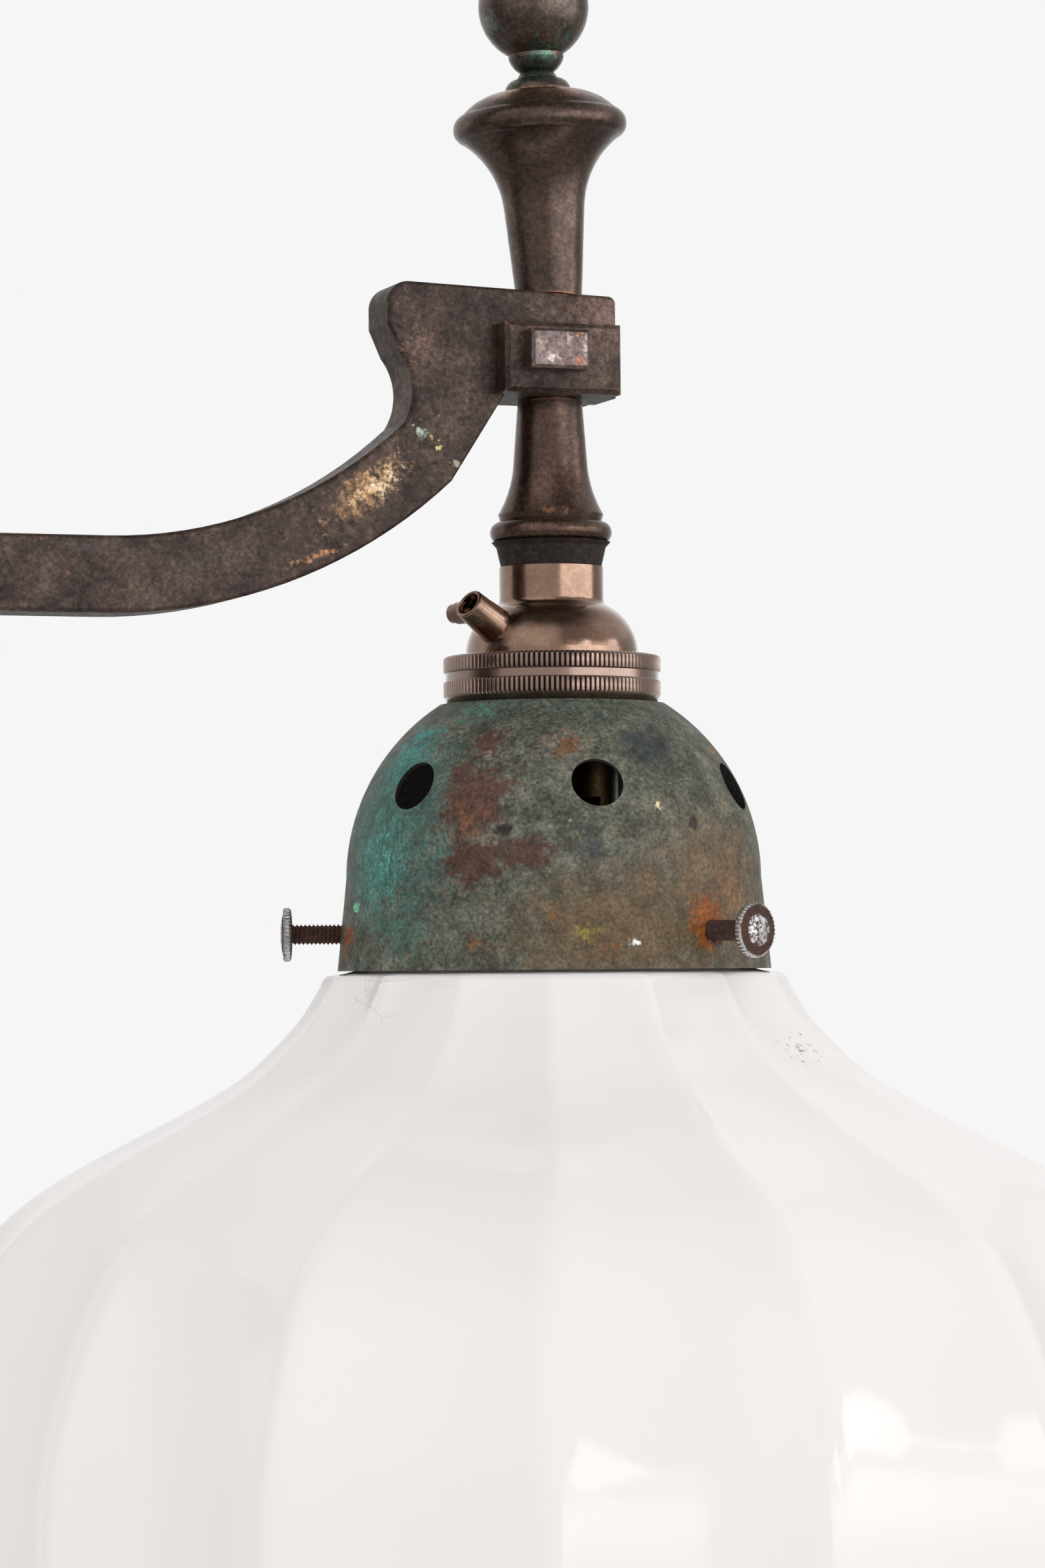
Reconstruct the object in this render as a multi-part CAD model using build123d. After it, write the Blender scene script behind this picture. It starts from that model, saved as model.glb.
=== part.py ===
from build123d import *
import os
from math import atan2, cos, pi, radians, sin, sqrt, tan

# Wall lamp on a swan-neck bracket, in millimetres.
# Origin: centre of the wall plate's back face. +X runs out from the wall, +Z is up.

# Fits
FIT = 0.05              # radial clearance of pieces that seat or turn in one another
RUN_GAP = 0.3           # gap between faces of pieces that move past one another

# Reach of the bracket
REACH = 250.0           # wall face to the lamp's vertical axis

# Wall plate, a dished casting with a pillar behind each screw hole
PLATE_R = 55.0
PLATE_DEPTH = 20.0
PLATE_WALL = 3.0
PLATE_EDGE = 8.0        # width of the ogee edge
PLATE_OGEE = 1.2        # swell and hollow of that edge
PLATE_BEAD = 2.5        # square step round the rim, next to the wall
FIX_COUNT = 3
FIX_PCD = 80.0
FIX_HOLE_R = 2.75
PILLAR_R = 5.5
CABLE_HOLE_R = 4.0

# Square socket on the plate and its cross screw
SOCKET_WALL = 4.0
SOCKET_LENGTH = 20.0
SET_SCREW_R = 2.5
SET_SCREW_BITE = 2.5    # depth of the screw's tip in the arm
SET_HEAD_R = 4.4
SET_HEAD = 3.0

# Connector in the hollow of the plate
CONN_DEEP = 11.0
CONN_WIDE = 22.0
CONN_HIGH = 15.0
CONN_EDGE = 1.5
CONN_DOWN = 16.0        # arm centre line down to the connector's top
CONN_ENTRY = 3.0        # depth of the flex in it
CONN_SCREW_R = 1.5
CONN_HEAD_R = 2.8
CONN_HEAD = 1.6
CONN_BITE = 2.0         # depth of its screws in the plate
CONN_SPAN = 12.0

# Flex and its cores
FLEX_R = 1.6
FLEX_ROOM = 1.2         # bore of the arm round the flex
FLEX_BEND = 4.0         # radius of the flex's bends
FLEX_LEAD = 8.0         # straight on from the brazed seam
FLEX_KNEE = 2.0         # second bend behind the block's heel
FLEX_CLEAR = 1.0        # flex over the tube's top
FLEX_SPLIT = 4.0        # hub underside up to where arm flex and stem flex meet
FLEX_TAIL = 4.0         # flex showing below the tube
CORE_R = 0.7
CORE_BEND = 1.1         # bend of a core, in core radii

# Arm bar
ARM_TALL = 14.6
ARM_DEEP = 13.0
ARM_EDGE = 0.9          # worn rounding of the long edges
BEND_R = 94.2           # centre-line radius of the sweep
BEND_TURN = 42.5        # degrees turned before the brazed seam
SEAM_BACK = 27.4        # seam centre behind the lamp axis
HUB_LIFT = 11.7         # seam centre up to the underside of the hub

# End block and its hub, seen from the side
BLOCK_TALL = 20.3       # hub underside to the block's top, on the lamp axis
BLOCK_NOSE = 11.6       # front end ahead of the lamp axis
NOSE_ROUND = 1.5
HOOK_OUT = 7.9          # tip of the hook behind the seam's centre
HOOK_TALL = 8.5         # upright face of the hook's tip
HOOK_ROUND = 4.3
THROAT_OUT = 3.1        # narrowest place of the hook's throat behind the seam's centre
THROAT_UP = 2.0
HEEL_BACK = 11.5        # where the outer edge meets the underside
TOP_FALL = 1.9          # degrees that the block's top falls towards its nose
HUB_BACK = 1.4          # hub centre behind the lamp axis
HUB_WIDE = 23.8
HUB_TALL = 13.6
HUB_DEEP = 24.4
HUB_EDGE = 0.9

# Lock key
KEY_WIDE = 11.8
KEY_TALL = 7.6
KEY_HEAD = 4.2
KEY_EDGE = 0.6
KEY_BACK = 3.7          # key axis behind the lamp axis
KEY_UP = 1.2            # key axis above the middle of the hub
KEY_SHANK_R = 2.5

# Stem tube, hung in the block by its flange
TUBE_R = 5.0
TUBE_WALL = 1.9
TUBE_FLANGE_OUT = 0.6
TUBE_FLANGE = 1.4
FLANGE_DOWN = 8.7       # block's top down to the flange's seat

# Vase, finial and their stud
VASE_LEAN = 2.8         # degrees that vase and finial lean to the wall
VASE_FOOT_OUT = 0.4     # foot of the vase outside the pocket
VASE_WAIST_R = 7.9
VASE_WAIST_UP = 17.5
VASE_FLARE_R = 15.4
VASE_FLARE_UP = 30.9
VASE_LIP_BULGE = 0.5
VASE_RIM_R = 17.0
VASE_RIM_UP = 33.4
VASE_ARRIS_R = 15.2     # sharp edge between lip and top
VASE_ARRIS_UP = 36.0
VASE_TOP_BULGE = 1.0
VASE_TALL = 40.1
VASE_SPIGOT = 2.2
SPIGOT_GAP = 0.15       # room for the spigot's lean in the upright pocket
FINIAL_FOOT_R = 6.5
FINIAL_FOOT_BULGE = 0.7
FINIAL_STEP_R = 4.1     # top of the cushion foot
FINIAL_STEP_UP = 2.6
FINIAL_NECK_R = 3.3
FINIAL_NECK_UP = 3.9
FINIAL_CUP_BULGE = 0.3
FINIAL_RING_R = 5.4
FINIAL_RING_UP = 6.6
FINIAL_RING = 0.8
FINIAL_QUIRK = 0.15     # step between ring and ball
FINIAL_BALL_R = 10.8
STUD_R = 2.0
STUD_BITE = 8.0         # depth of the stud in the vase
STUD_REACH = 12.0       # depth of the stud in the finial

# Baluster and collar
BALUSTER_TALL = 27.7
BALUSTER_TOP_OUT = 1.3  # top of the baluster outside the tube
BALUSTER_WAIST_R = 7.3
BALUSTER_WAIST_UP = 14.5
BALUSTER_HOLLOW = 0.5
BALUSTER_FOOT_R = 10.3
BALUSTER_FOOT_UP = 5.4
BALUSTER_QUIRK = 0.4    # step between bead and foot
BEAD_R = 11.9
BEAD_TALL = 3.8
COLLAR_TALL = 4.9
COLLAR_TOP_R = 10.7
COLLAR_BASE_R = 9.8
COLLAR_LIP = 1.0        # sloped lip round the collar's top
COLLAR_LIP_OUT = 0.9

# Lampholder cap
NECK_R = 10.2
NECK_TALL = 6.4
CROOK_OUT = 1.0         # hollow corner between neck and dome
CROOK_DOWN = 1.3
CROOK_HOLLOW = 0.25
DOME_R = 16.8
DOME_TALL = 11.0
DOME_BULGE = 1.27
CAP_WALL = 1.2
CAP_FLANGE_OUT = 1.8
CAP_FLANGE = 1.2

# Earth terminal on the dome
EARTH_R = 2.8
EARTH_BORE_R = 1.7
EARTH_BORE_DEEP = 5.0
EARTH_TILT = 31.0       # degrees above level
EARTH_TURN = 22.0       # degrees from the wall towards the front
EARTH_OUT = 4.8         # middle of its open end outside the dome's edge
EARTH_UP = 9.4          # and above the union ring
EARTH_LONG = 11.5
EARTH_BOSS_R = 2.3
EARTH_BOSS = 5.6        # tube's axis to the end of the boss
EARTH_SCREW_R = 1.0
EARTH_HEAD_R = 1.9
EARTH_HEAD = 1.4
EARTH_SCREW_DOWN = 2.7  # screw axis below the open end

# Knurled rings
THREAD_GAP = 0.8        # union thread outside the cap's flange
RING_WALL = 1.8         # rings outside the union thread
UNION_TALL = 4.1
UNION_LIP = 1.2
GROOVE_DEEP = 0.4
GROOVE_TALL = 0.8       # each ring's half of the groove between the bands
RING_TALL = 5.3
RING_FOOT_IN = 0.8
RING_FOOT = 1.4
LOWER_RING_WALL = 4.25
LOWER_RING_TALL = 4.0

# Bayonet barrel
LAMP_R = 11.2           # bore that takes a lamp cap
LAMP_BORE = 15.0        # length of that bore
LAMP_DEEP = 21.5        # insert's seat down to the mouth
RELIEF = 0.3            # wider bore above it
SEAT_LEDGE = 1.0        # ledge that the insert sits on
SEAT_THICK = 1.5
SKIRT_WALL = 1.5
THREAD_WALL = 1.7
THREAD_SPARE = 2.4      # thread left below the lower ring
SLOT_WIDE = 2.6
SLOT_TALL = 9.0
SLOT_TURN = 26.0        # degrees of the slot's sideways leg

# Porcelain insert with sprung contacts
INSERT_TALL = 11.5
PLUNGER_OFF = 5.75
PLUNGER_R = 2.1
PLUNGER_HEAD_OUT = 0.8
PLUNGER_HEAD = 1.5
PLUNGER_GUIDE = 2.5
PLUNGER_PROUD = 0.4     # tip above the end of the lamp's bore
CHAMBER_GAP = 0.1
SPRING_GAP = 0.5        # spring to the chamber's wall
SPRING_WIRE_R = 0.25
SPRING_TURNS = 4
LAP_POINTS = 36         # points measured on each turn of a spring
POST_OVER = 0.2         # post outside the chamber, each side
POST_DEEP = 8.0
POST_TALL = 6.0
POST_SINK = 2.0
POST_SCREW_R = 1.2
POST_HEAD_R = 1.9
POST_HEAD = 1.4
POST_BITE = 2.2

# Gallery and its thumbscrews
GALLERY_R = 40.4
GALLERY_SEAT_OUT = 1.6  # flat top outside the ring's foot
GALLERY_SKIRT = 17.75
GALLERY_FLARE = 1.8     # mouth outside the widest circle of the dome
GALLERY_WALL = 0.9
VENT_COUNT = 6
VENT_R = 5.0
VENT_TILT = 25.6        # degrees above the dome's widest circle
VENT_TURN = 23.0
THUMB_TURNS = (-64.0, 50.0, 163.0)  # degrees round the lamp axis, as drilled by hand
THUMB_UP = 7.15
THUMB_R = 2.0
THUMB_SHOWN = 9.6       # shank between gallery and head
THUMB_HEAD_R = 5.25
THUMB_BEVEL = 0.5
THUMB_RIM = 1.4
THUMB_CROWN = 0.9

# Glass shade
GLASS = 3.6
LIP_GAP = 0.6           # lip of the neck to the gallery's wall
LIP_OUT = 2.0           # lip outside the neck
LIP_TALL = 3.6
NECK_FOOT = 1.5         # upright neck ends above the gallery's mouth
NECK_HOLLOW = 1.2
SHOULDER_STEP = 0.3     # shoulder inside the hollows of the flutes
FLUTE_COUNT = 16
FLUTE_TURN = 1.8
FLUTE_SAG = 0.024       # hollow of a flute for each unit of its radius
# Outer ridge of a flute: depth below the gallery's mouth, distance out from the neck
RIDGE = [
    (1.5, 8.0), (11.0, 13.6), (22.0, 25.6), (42.0, 62.1),
    (55.0, 75.8), (82.0, 87.8), (107.0, 90.4), (150.0, 88.6),
]

# Radii that follow from the sizes above
PLATE_FRONT_R = PLATE_R - PLATE_EDGE
ARM_BORE_R = FLEX_R + FLEX_ROOM
TUBE_BORE_R = TUBE_R - TUBE_WALL
TUBE_FLANGE_R = TUBE_R + TUBE_FLANGE_OUT
POCKET_R = TUBE_FLANGE_R + RUN_GAP
VASE_FOOT_R = POCKET_R + VASE_FOOT_OUT
BALUSTER_TOP_R = TUBE_R + BALUSTER_TOP_OUT
CAP_FLANGE_R = DOME_R + CAP_FLANGE_OUT
UNION_THREAD_R = CAP_FLANGE_R + THREAD_GAP
RING_R = UNION_THREAD_R + RING_WALL
RING_FOOT_R = RING_R - RING_FOOT_IN
RELIEF_R = LAMP_R + RELIEF
INSERT_R = RELIEF_R + SEAT_LEDGE
SKIRT_R = LAMP_R + SKIRT_WALL
THREAD_R = INSERT_R + FIT + THREAD_WALL
LOWER_RING_R = THREAD_R + LOWER_RING_WALL
PLUNGER_HEAD_R = PLUNGER_R + PLUNGER_HEAD_OUT
CHAMBER_R = PLUNGER_HEAD_R + CHAMBER_GAP
SPRING_R = CHAMBER_R - SPRING_GAP - SPRING_WIRE_R
POST_WIDE = 2 * (CHAMBER_R + POST_OVER)
GALLERY_SEAT_R = RING_FOOT_R + GALLERY_SEAT_OUT
GALLERY_MOUTH_R = GALLERY_R + GALLERY_FLARE
LIP_UP = THUMB_UP + THUMB_R + RUN_GAP
LIP_R = GALLERY_MOUTH_R - GALLERY_FLARE * (LIP_UP + LIP_TALL) / GALLERY_SKIRT - GALLERY_WALL - LIP_GAP
GLASS_NECK_R = LIP_R - LIP_OUT
THUMB_WALL_R = GALLERY_MOUTH_R - GALLERY_FLARE * THUMB_UP / GALLERY_SKIRT

# Heights and places that follow from the sizes above
ARM_START_X = PLATE_DEPTH
BEND_RAD = radians(BEND_TURN)
SEAM_X = REACH - SEAM_BACK
SEAM_Z = BEND_R * (1 - cos(BEND_RAD))
BEND_X = SEAM_X - BEND_R * sin(BEND_RAD)
HUB_Z = SEAM_Z + HUB_LIFT
TOP_Z = HUB_Z + BLOCK_TALL
HUB_X = REACH - HUB_BACK
KEY_X = REACH - KEY_BACK
KEY_Z = HUB_Z + HUB_TALL / 2 + KEY_UP
FLANGE_SEAT_Z = TOP_Z - FLANGE_DOWN
TUBE_TOP_Z = FLANGE_SEAT_Z + FIT + TUBE_FLANGE
BALUSTER_Z = HUB_Z - RUN_GAP - BALUSTER_TALL
COLLAR_Z = BALUSTER_Z - COLLAR_TALL
NECK_Z = COLLAR_Z - NECK_TALL
TUBE_Z = NECK_Z - CAP_WALL
HOLLOW_Z = TUBE_Z - CROOK_DOWN
DOME_Z = NECK_Z - DOME_TALL
LIP_Z = DOME_Z - UNION_LIP
CAP_BASE_Z = LIP_Z - FIT - CAP_FLANGE
UNION_Z = DOME_Z - UNION_TALL
RING_Z = UNION_Z - RING_TALL
LOWER_RING_Z = RING_Z - GALLERY_WALL - LOWER_RING_TALL
THREAD_Z = LOWER_RING_Z - THREAD_SPARE
SEAT_Z = THREAD_Z + SEAT_THICK
BARREL_Z = SEAT_Z - LAMP_DEEP
BORE_TOP_Z = BARREL_Z + LAMP_BORE
INSERT_TOP_Z = SEAT_Z + INSERT_TALL
POST_Z = INSERT_TOP_Z - POST_SINK
CHAMBER_Z = SEAT_Z + PLUNGER_GUIDE
FLEX_SPLIT_Z = HUB_Z + FLEX_SPLIT
FLEX_END_Z = TUBE_Z - FLEX_TAIL
EQUATOR_Z = RING_Z - sqrt(GALLERY_R**2 - GALLERY_SEAT_R**2)
MOUTH_Z = EQUATOR_Z - GALLERY_SKIRT
THUMB_Z = MOUTH_Z + THUMB_UP
SET_SCREW_X = PLATE_DEPTH + SOCKET_LENGTH / 2
SET_SEAT_Z = -ARM_TALL / 2 - SOCKET_WALL
CONN_SEAT_X = PLATE_DEPTH - PLATE_WALL
CONN_SCREW_Z = -CONN_DOWN - CONN_HIGH / 2


def turned(*outline):
    """Solid turned about Z from a closed outline drawn as radius and height."""
    return revolve(Plane.XZ * make_face(outline), Axis.Z)


def rod(radius, start, end):
    """Round bar between two points."""
    run = Vector(*end) - Vector(*start)
    return extrude(Plane(Vector(*start), z_dir=run) * Circle(radius), run.length)


def ring(outer, inner, low, high):
    """Plain tube about Z."""
    return Pos(0, 0, low) * extrude(Circle(outer) - Circle(inner), high - low)


def disc(radius, low, high):
    """Plain cylinder about Z."""
    return Pos(0, 0, low) * extrude(Circle(radius), high - low)


def block(wide, deep, low, high):
    """Upright block centred on Z."""
    return Pos(0, 0, (low + high) / 2) * Box(wide, deep, high - low)


def hung(shape):
    """Move a piece drawn about Z onto the lamp's axis."""
    return Pos(REACH, 0, 0) * shape


def leaned(shape):
    """Move a piece drawn up from zero onto the block's top, leaning to the wall."""
    return Pos(REACH, 0, TOP_Z) * Rot(0, -VASE_LEAN, 0) * shape


def crown(radius, low, rise):
    """Outline of a shallow round crown, from its edge to the axis."""
    ball = (radius**2 + rise**2) / (2 * rise)
    middle = low + rise - ball + ball * sqrt(1 - (radius / (2 * ball)) ** 2)
    return ThreePointArc((radius, low), (radius / 2, middle), (0, low + rise))


def wall_plate():
    front = PLATE_DEPTH
    inside = front - PLATE_WALL
    ogee = ((PLATE_R + PLATE_FRONT_R) / 2, (PLATE_BEAD + front) / 2)
    plate = turned(
        Polyline((0, front), (0, 0), (PLATE_R, 0), (PLATE_R, PLATE_BEAD)),
        SagittaArc((PLATE_R, PLATE_BEAD), ogee, -PLATE_OGEE),
        SagittaArc(ogee, (PLATE_FRONT_R, front), PLATE_OGEE),
        Line((PLATE_FRONT_R, front), (0, front)),
    )
    plate -= disc(PLATE_FRONT_R - PLATE_WALL, 0, inside)
    for place in PolarLocations(FIX_PCD / 2, FIX_COUNT):
        plate += place * disc(PILLAR_R, 0, inside)
    for place in PolarLocations(FIX_PCD / 2, FIX_COUNT):
        plate -= place * disc(FIX_HOLE_R, 0, front)
    plate -= disc(CABLE_HOLE_R, 0, front)
    plate = Rot(0, 90, 0) * plate
    for y in (-CONN_SPAN / 2, CONN_SPAN / 2):
        plate -= rod(CONN_SCREW_R + FIT, (0, y, CONN_SCREW_Z), (inside + CONN_BITE, y, CONN_SCREW_Z))
    return plate


def arm_socket():
    low = PLATE_DEPTH
    high = low + SOCKET_LENGTH
    body = block(ARM_TALL + 2 * SOCKET_WALL, ARM_DEEP + 2 * SOCKET_WALL, low, high)
    body = chamfer(body.faces().sort_by(Axis.Z)[-1].edges(), SOCKET_WALL / 2)
    body -= block(ARM_TALL + 2 * FIT, ARM_DEEP + 2 * FIT, low, high)
    body = Rot(0, 90, 0) * body
    return body - rod(SET_SCREW_R + FIT, (SET_SCREW_X, 0, SET_SEAT_Z), (SET_SCREW_X, 0, 0))


def socket_screw():
    tip = SET_SCREW_BITE - ARM_TALL / 2 - FIT
    shank = rod(SET_SCREW_R, (SET_SCREW_X, 0, SET_SEAT_Z), (SET_SCREW_X, 0, tip))
    head = rod(SET_HEAD_R, (SET_SCREW_X, 0, SET_SEAT_Z), (SET_SCREW_X, 0, SET_SEAT_Z - SET_HEAD))
    return shank + head


def flex_entry_x():
    """Middle of the connector, where the flex goes in."""
    return CONN_SEAT_X - CONN_DEEP / 2


def terminal_block():
    low = CONN_SEAT_X - CONN_DEEP
    x = flex_entry_x()
    body = Box(CONN_DEEP, CONN_WIDE, CONN_HIGH)
    body = chamfer(body.edges().filter_by(Axis.X), CONN_EDGE)
    body = Pos(x, 0, CONN_SCREW_Z) * body
    for y in (-CONN_SPAN / 2, CONN_SPAN / 2):
        body -= rod(CONN_SCREW_R + FIT, (low, y, CONN_SCREW_Z), (CONN_SEAT_X, y, CONN_SCREW_Z))
    return body - rod(FLEX_R + FIT, (x, 0, 0), (x, 0, -CONN_DOWN - CONN_ENTRY))


def terminal_block_screws():
    seat = CONN_SEAT_X - CONN_DEEP
    tip = CONN_SEAT_X + CONN_BITE - FIT
    screws = []
    for y in (-CONN_SPAN / 2, CONN_SPAN / 2):
        shank = rod(CONN_SCREW_R, (seat, y, CONN_SCREW_Z), (tip, y, CONN_SCREW_Z))
        head = rod(CONN_HEAD_R, (seat, y, CONN_SCREW_Z), (seat - CONN_HEAD, y, CONN_SCREW_Z))
        screws.append(shank + head)
    return screws


def on_bend(radius, turn):
    """Point of the arm's sweep at a radius from the bend's centre, after a turn in radians."""
    return (BEND_X + radius * sin(turn), BEND_R - radius * cos(turn))


def arm_line():
    """Centre line of the arm, from the plate to the brazed seam."""
    straight = Line((ARM_START_X, 0), (BEND_X, 0))
    sweep_up = ThreePointArc((BEND_X, 0), on_bend(BEND_R, BEND_RAD / 2), on_bend(BEND_R, BEND_RAD))
    return [straight, sweep_up]


def block_line():
    """The flex's way through the end block, from the seam to inside the tube."""
    run_z = TUBE_TOP_Z + FLEX_R + FLEX_CLEAR
    lead = (SEAM_X + FLEX_LEAD * cos(BEND_RAD), SEAM_Z + FLEX_LEAD * sin(BEND_RAD))
    knee = (REACH - HEEL_BACK - FLEX_KNEE, run_z)
    points = [(SEAM_X, SEAM_Z), lead, knee, (REACH, run_z), (REACH, FLEX_SPLIT_Z)]
    return FilletPolyline(*points, radius=FLEX_BEND)


def swept(radius, path):
    """Round bar along a path drawn in the plane of the arm."""
    path = Plane.XZ * path
    return sweep(Plane(path @ 0, z_dir=path % 0) * Circle(radius), path=path)


def side_plate(outline, deep):
    """Plate of a given depth from an outline in the plane of the arm."""
    return extrude(Plane.XZ * make_face(outline), deep / 2, both=True)


def face_edges(body, deep):
    """Edges round the two side faces of a plate."""
    return body.edges().filter_by(lambda e: abs(abs(e.center().Y) - deep / 2) < FIT)


def arm_bar():
    inner = BEND_R - ARM_TALL / 2
    outer = BEND_R + ARM_TALL / 2
    half = ARM_TALL / 2
    outline = [
        Line((ARM_START_X, -half), (BEND_X, -half)),
        ThreePointArc((BEND_X, -half), on_bend(outer, BEND_RAD / 2), on_bend(outer, BEND_RAD)),
        Line(on_bend(outer, BEND_RAD), on_bend(inner, BEND_RAD)),
        ThreePointArc(on_bend(inner, BEND_RAD), on_bend(inner, BEND_RAD / 2), (BEND_X, half)),
        Polyline((BEND_X, half), (ARM_START_X, half), (ARM_START_X, -half)),
    ]
    bar = side_plate(outline, ARM_DEEP)
    bar = fillet([e for e in face_edges(bar, ARM_DEEP) if e.length > 2 * ARM_TALL], ARM_EDGE)
    bar -= swept(ARM_BORE_R, Curve() + arm_line())
    bite = (SET_SCREW_X, 0, SET_SCREW_BITE - half)
    return bar - rod(SET_SCREW_R + FIT, (SET_SCREW_X, 0, SET_SEAT_Z), bite)


def block_plate():
    """The end block without its hub, edges eased but for the brazed seam."""
    inner = on_bend(BEND_R - ARM_TALL / 2, BEND_RAD)
    outer = on_bend(BEND_R + ARM_TALL / 2, BEND_RAD)
    rise = tan(radians(TOP_FALL))
    hook_back = SEAM_BACK + HOOK_OUT
    nose_x = REACH + BLOCK_NOSE
    hook_top = (REACH - hook_back, TOP_Z + hook_back * rise)
    hook_low = (REACH - hook_back, hook_top[1] - HOOK_TALL)
    throat = (SEAM_X - THROAT_OUT, HUB_Z + THROAT_UP)
    throat_end = ((hook_low[0] + throat[0]) / 2, (throat[1] + hook_low[1]) / 2)
    heel = (REACH - HEEL_BACK, HUB_Z)
    nose_top = (nose_x, TOP_Z - BLOCK_NOSE * rise)
    plate = side_plate([
        Polyline(outer, heel, (nose_x, HUB_Z), nose_top, hook_top, hook_low, throat_end),
        ThreePointArc(throat_end, throat, inner),
        Line(inner, outer),
    ], ARM_DEEP)
    for tip, radius in ((hook_top, HOOK_ROUND), (nose_top, NOSE_ROUND)):
        corner = plate.edges().filter_by(Axis.Y).sort_by_distance((tip[0], 0, tip[1]))[0]
        plate = fillet(corner, radius)
    seam = Vector(SEAM_X, 0, SEAM_Z)
    rims = [e for e in face_edges(plate, ARM_DEEP) if (e.center() - seam).length > ARM_DEEP / 2 + FIT]
    return fillet(rims, ARM_EDGE)


def end_block():
    hub = block(HUB_WIDE, HUB_DEEP, HUB_Z, HUB_Z + HUB_TALL)
    hub = chamfer(face_edges(hub, HUB_DEEP), HUB_EDGE)
    body = block_plate() + Pos(HUB_X, 0, 0) * hub
    body -= hung(disc(TUBE_R + FIT, HUB_Z, FLANGE_SEAT_Z))
    body -= hung(disc(POCKET_R, FLANGE_SEAT_Z, TOP_Z + BLOCK_TALL))
    body -= swept(ARM_BORE_R, block_line())
    return body - rod(KEY_SHANK_R + FIT, (KEY_X, -HUB_DEEP, KEY_Z), (KEY_X, -TUBE_R / 2, KEY_Z))


def lock_key():
    face = -HUB_DEEP / 2 - RUN_GAP
    head = block(KEY_WIDE, KEY_TALL, 0, KEY_HEAD)
    head = chamfer(head.faces().sort_by(Axis.Z)[-1].edges(), KEY_EDGE)
    key = Plane((KEY_X, face, KEY_Z), x_dir=(1, 0, 0), z_dir=(0, -1, 0)) * head
    return key + rod(KEY_SHANK_R, (KEY_X, face, KEY_Z), (KEY_X, -TUBE_R - RUN_GAP, KEY_Z))


def stem_tube():
    seat = FLANGE_SEAT_Z + FIT
    tube = disc(TUBE_R, TUBE_Z, seat) + disc(TUBE_FLANGE_R, seat, TUBE_TOP_Z)
    return hung(tube - disc(TUBE_BORE_R, TUBE_Z, TUBE_TOP_Z))


def vase():
    foot = (VASE_FOOT_R, -VASE_SPIGOT)
    waist = (VASE_WAIST_R, VASE_WAIST_UP)
    flare = (VASE_FLARE_R, VASE_FLARE_UP)
    rim = (VASE_RIM_R, VASE_RIM_UP)
    arris = (VASE_ARRIS_R, VASE_ARRIS_UP)
    top = (FINIAL_FOOT_R, VASE_TALL)
    side = Line(foot, waist)
    body = turned(
        Line((0, -VASE_SPIGOT), foot),
        side,
        TangentArc(waist, flare, tangent=side % 1),
        SagittaArc(flare, rim, -VASE_LIP_BULGE),
        SagittaArc(rim, arris, -VASE_LIP_BULGE),
        SagittaArc(arris, top, -VASE_TOP_BULGE),
        Polyline(top, (0, VASE_TALL), (0, -VASE_SPIGOT)),
    )
    body = leaned(body - disc(STUD_R + FIT, VASE_TALL - STUD_BITE, VASE_TALL))
    body = split(body, block_top(), keep=Keep.TOP)
    return body + leaned(disc(POCKET_R - SPIGOT_GAP, -VASE_SPIGOT, VASE_SPIGOT))


def block_top():
    """Plane of the block's top, facing up."""
    fall = radians(TOP_FALL)
    return Plane((REACH, 0, TOP_Z), x_dir=(cos(fall), 0, -sin(fall)), z_dir=(sin(fall), 0, cos(fall)))


def finial():
    ring_top = FINIAL_RING_UP + FINIAL_RING
    quirk = (FINIAL_RING_R - FINIAL_QUIRK, ring_top)
    ball_z = ring_top + sqrt(FINIAL_BALL_R**2 - quirk[0] ** 2)
    foot = (FINIAL_FOOT_R, 0)
    step = (FINIAL_STEP_R, FINIAL_STEP_UP)
    neck = (FINIAL_NECK_R, FINIAL_NECK_UP)
    cup = (FINIAL_RING_R, FINIAL_RING_UP)
    body = turned(
        Line((0, 0), foot),
        SagittaArc(foot, step, -FINIAL_FOOT_BULGE),
        Line(step, neck),
        SagittaArc(neck, cup, -FINIAL_CUP_BULGE),
        Polyline(cup, (FINIAL_RING_R, ring_top), quirk),
        ThreePointArc(quirk, (FINIAL_BALL_R, ball_z), (0, ball_z + FINIAL_BALL_R)),
        Line((0, ball_z + FINIAL_BALL_R), (0, 0)),
    )
    return leaned(Pos(0, 0, VASE_TALL) * (body - disc(STUD_R + FIT, 0, STUD_REACH)))


def finial_stud():
    return leaned(disc(STUD_R, VASE_TALL - STUD_BITE + FIT, VASE_TALL + STUD_REACH - FIT))


def baluster():
    bead_top = (COLLAR_TOP_R, BEAD_TALL)
    quirk = (BALUSTER_FOOT_R - BALUSTER_QUIRK, BEAD_TALL + BALUSTER_QUIRK)
    foot = (BALUSTER_FOOT_R, BALUSTER_FOOT_UP)
    waist = (BALUSTER_WAIST_R, BALUSTER_WAIST_UP)
    body = turned(
        Line((0, 0), (COLLAR_TOP_R, 0)),
        ThreePointArc((COLLAR_TOP_R, 0), (BEAD_R, BEAD_TALL / 2), bead_top),
        Polyline(bead_top, quirk, foot),
        SagittaArc(foot, waist, BALUSTER_HOLLOW),
        Polyline(waist, (BALUSTER_TOP_R, BALUSTER_TALL), (0, BALUSTER_TALL), (0, 0)),
    )
    return hung(Pos(0, 0, BALUSTER_Z) * (body - disc(TUBE_R + FIT, 0, BALUSTER_TALL)))


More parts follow.
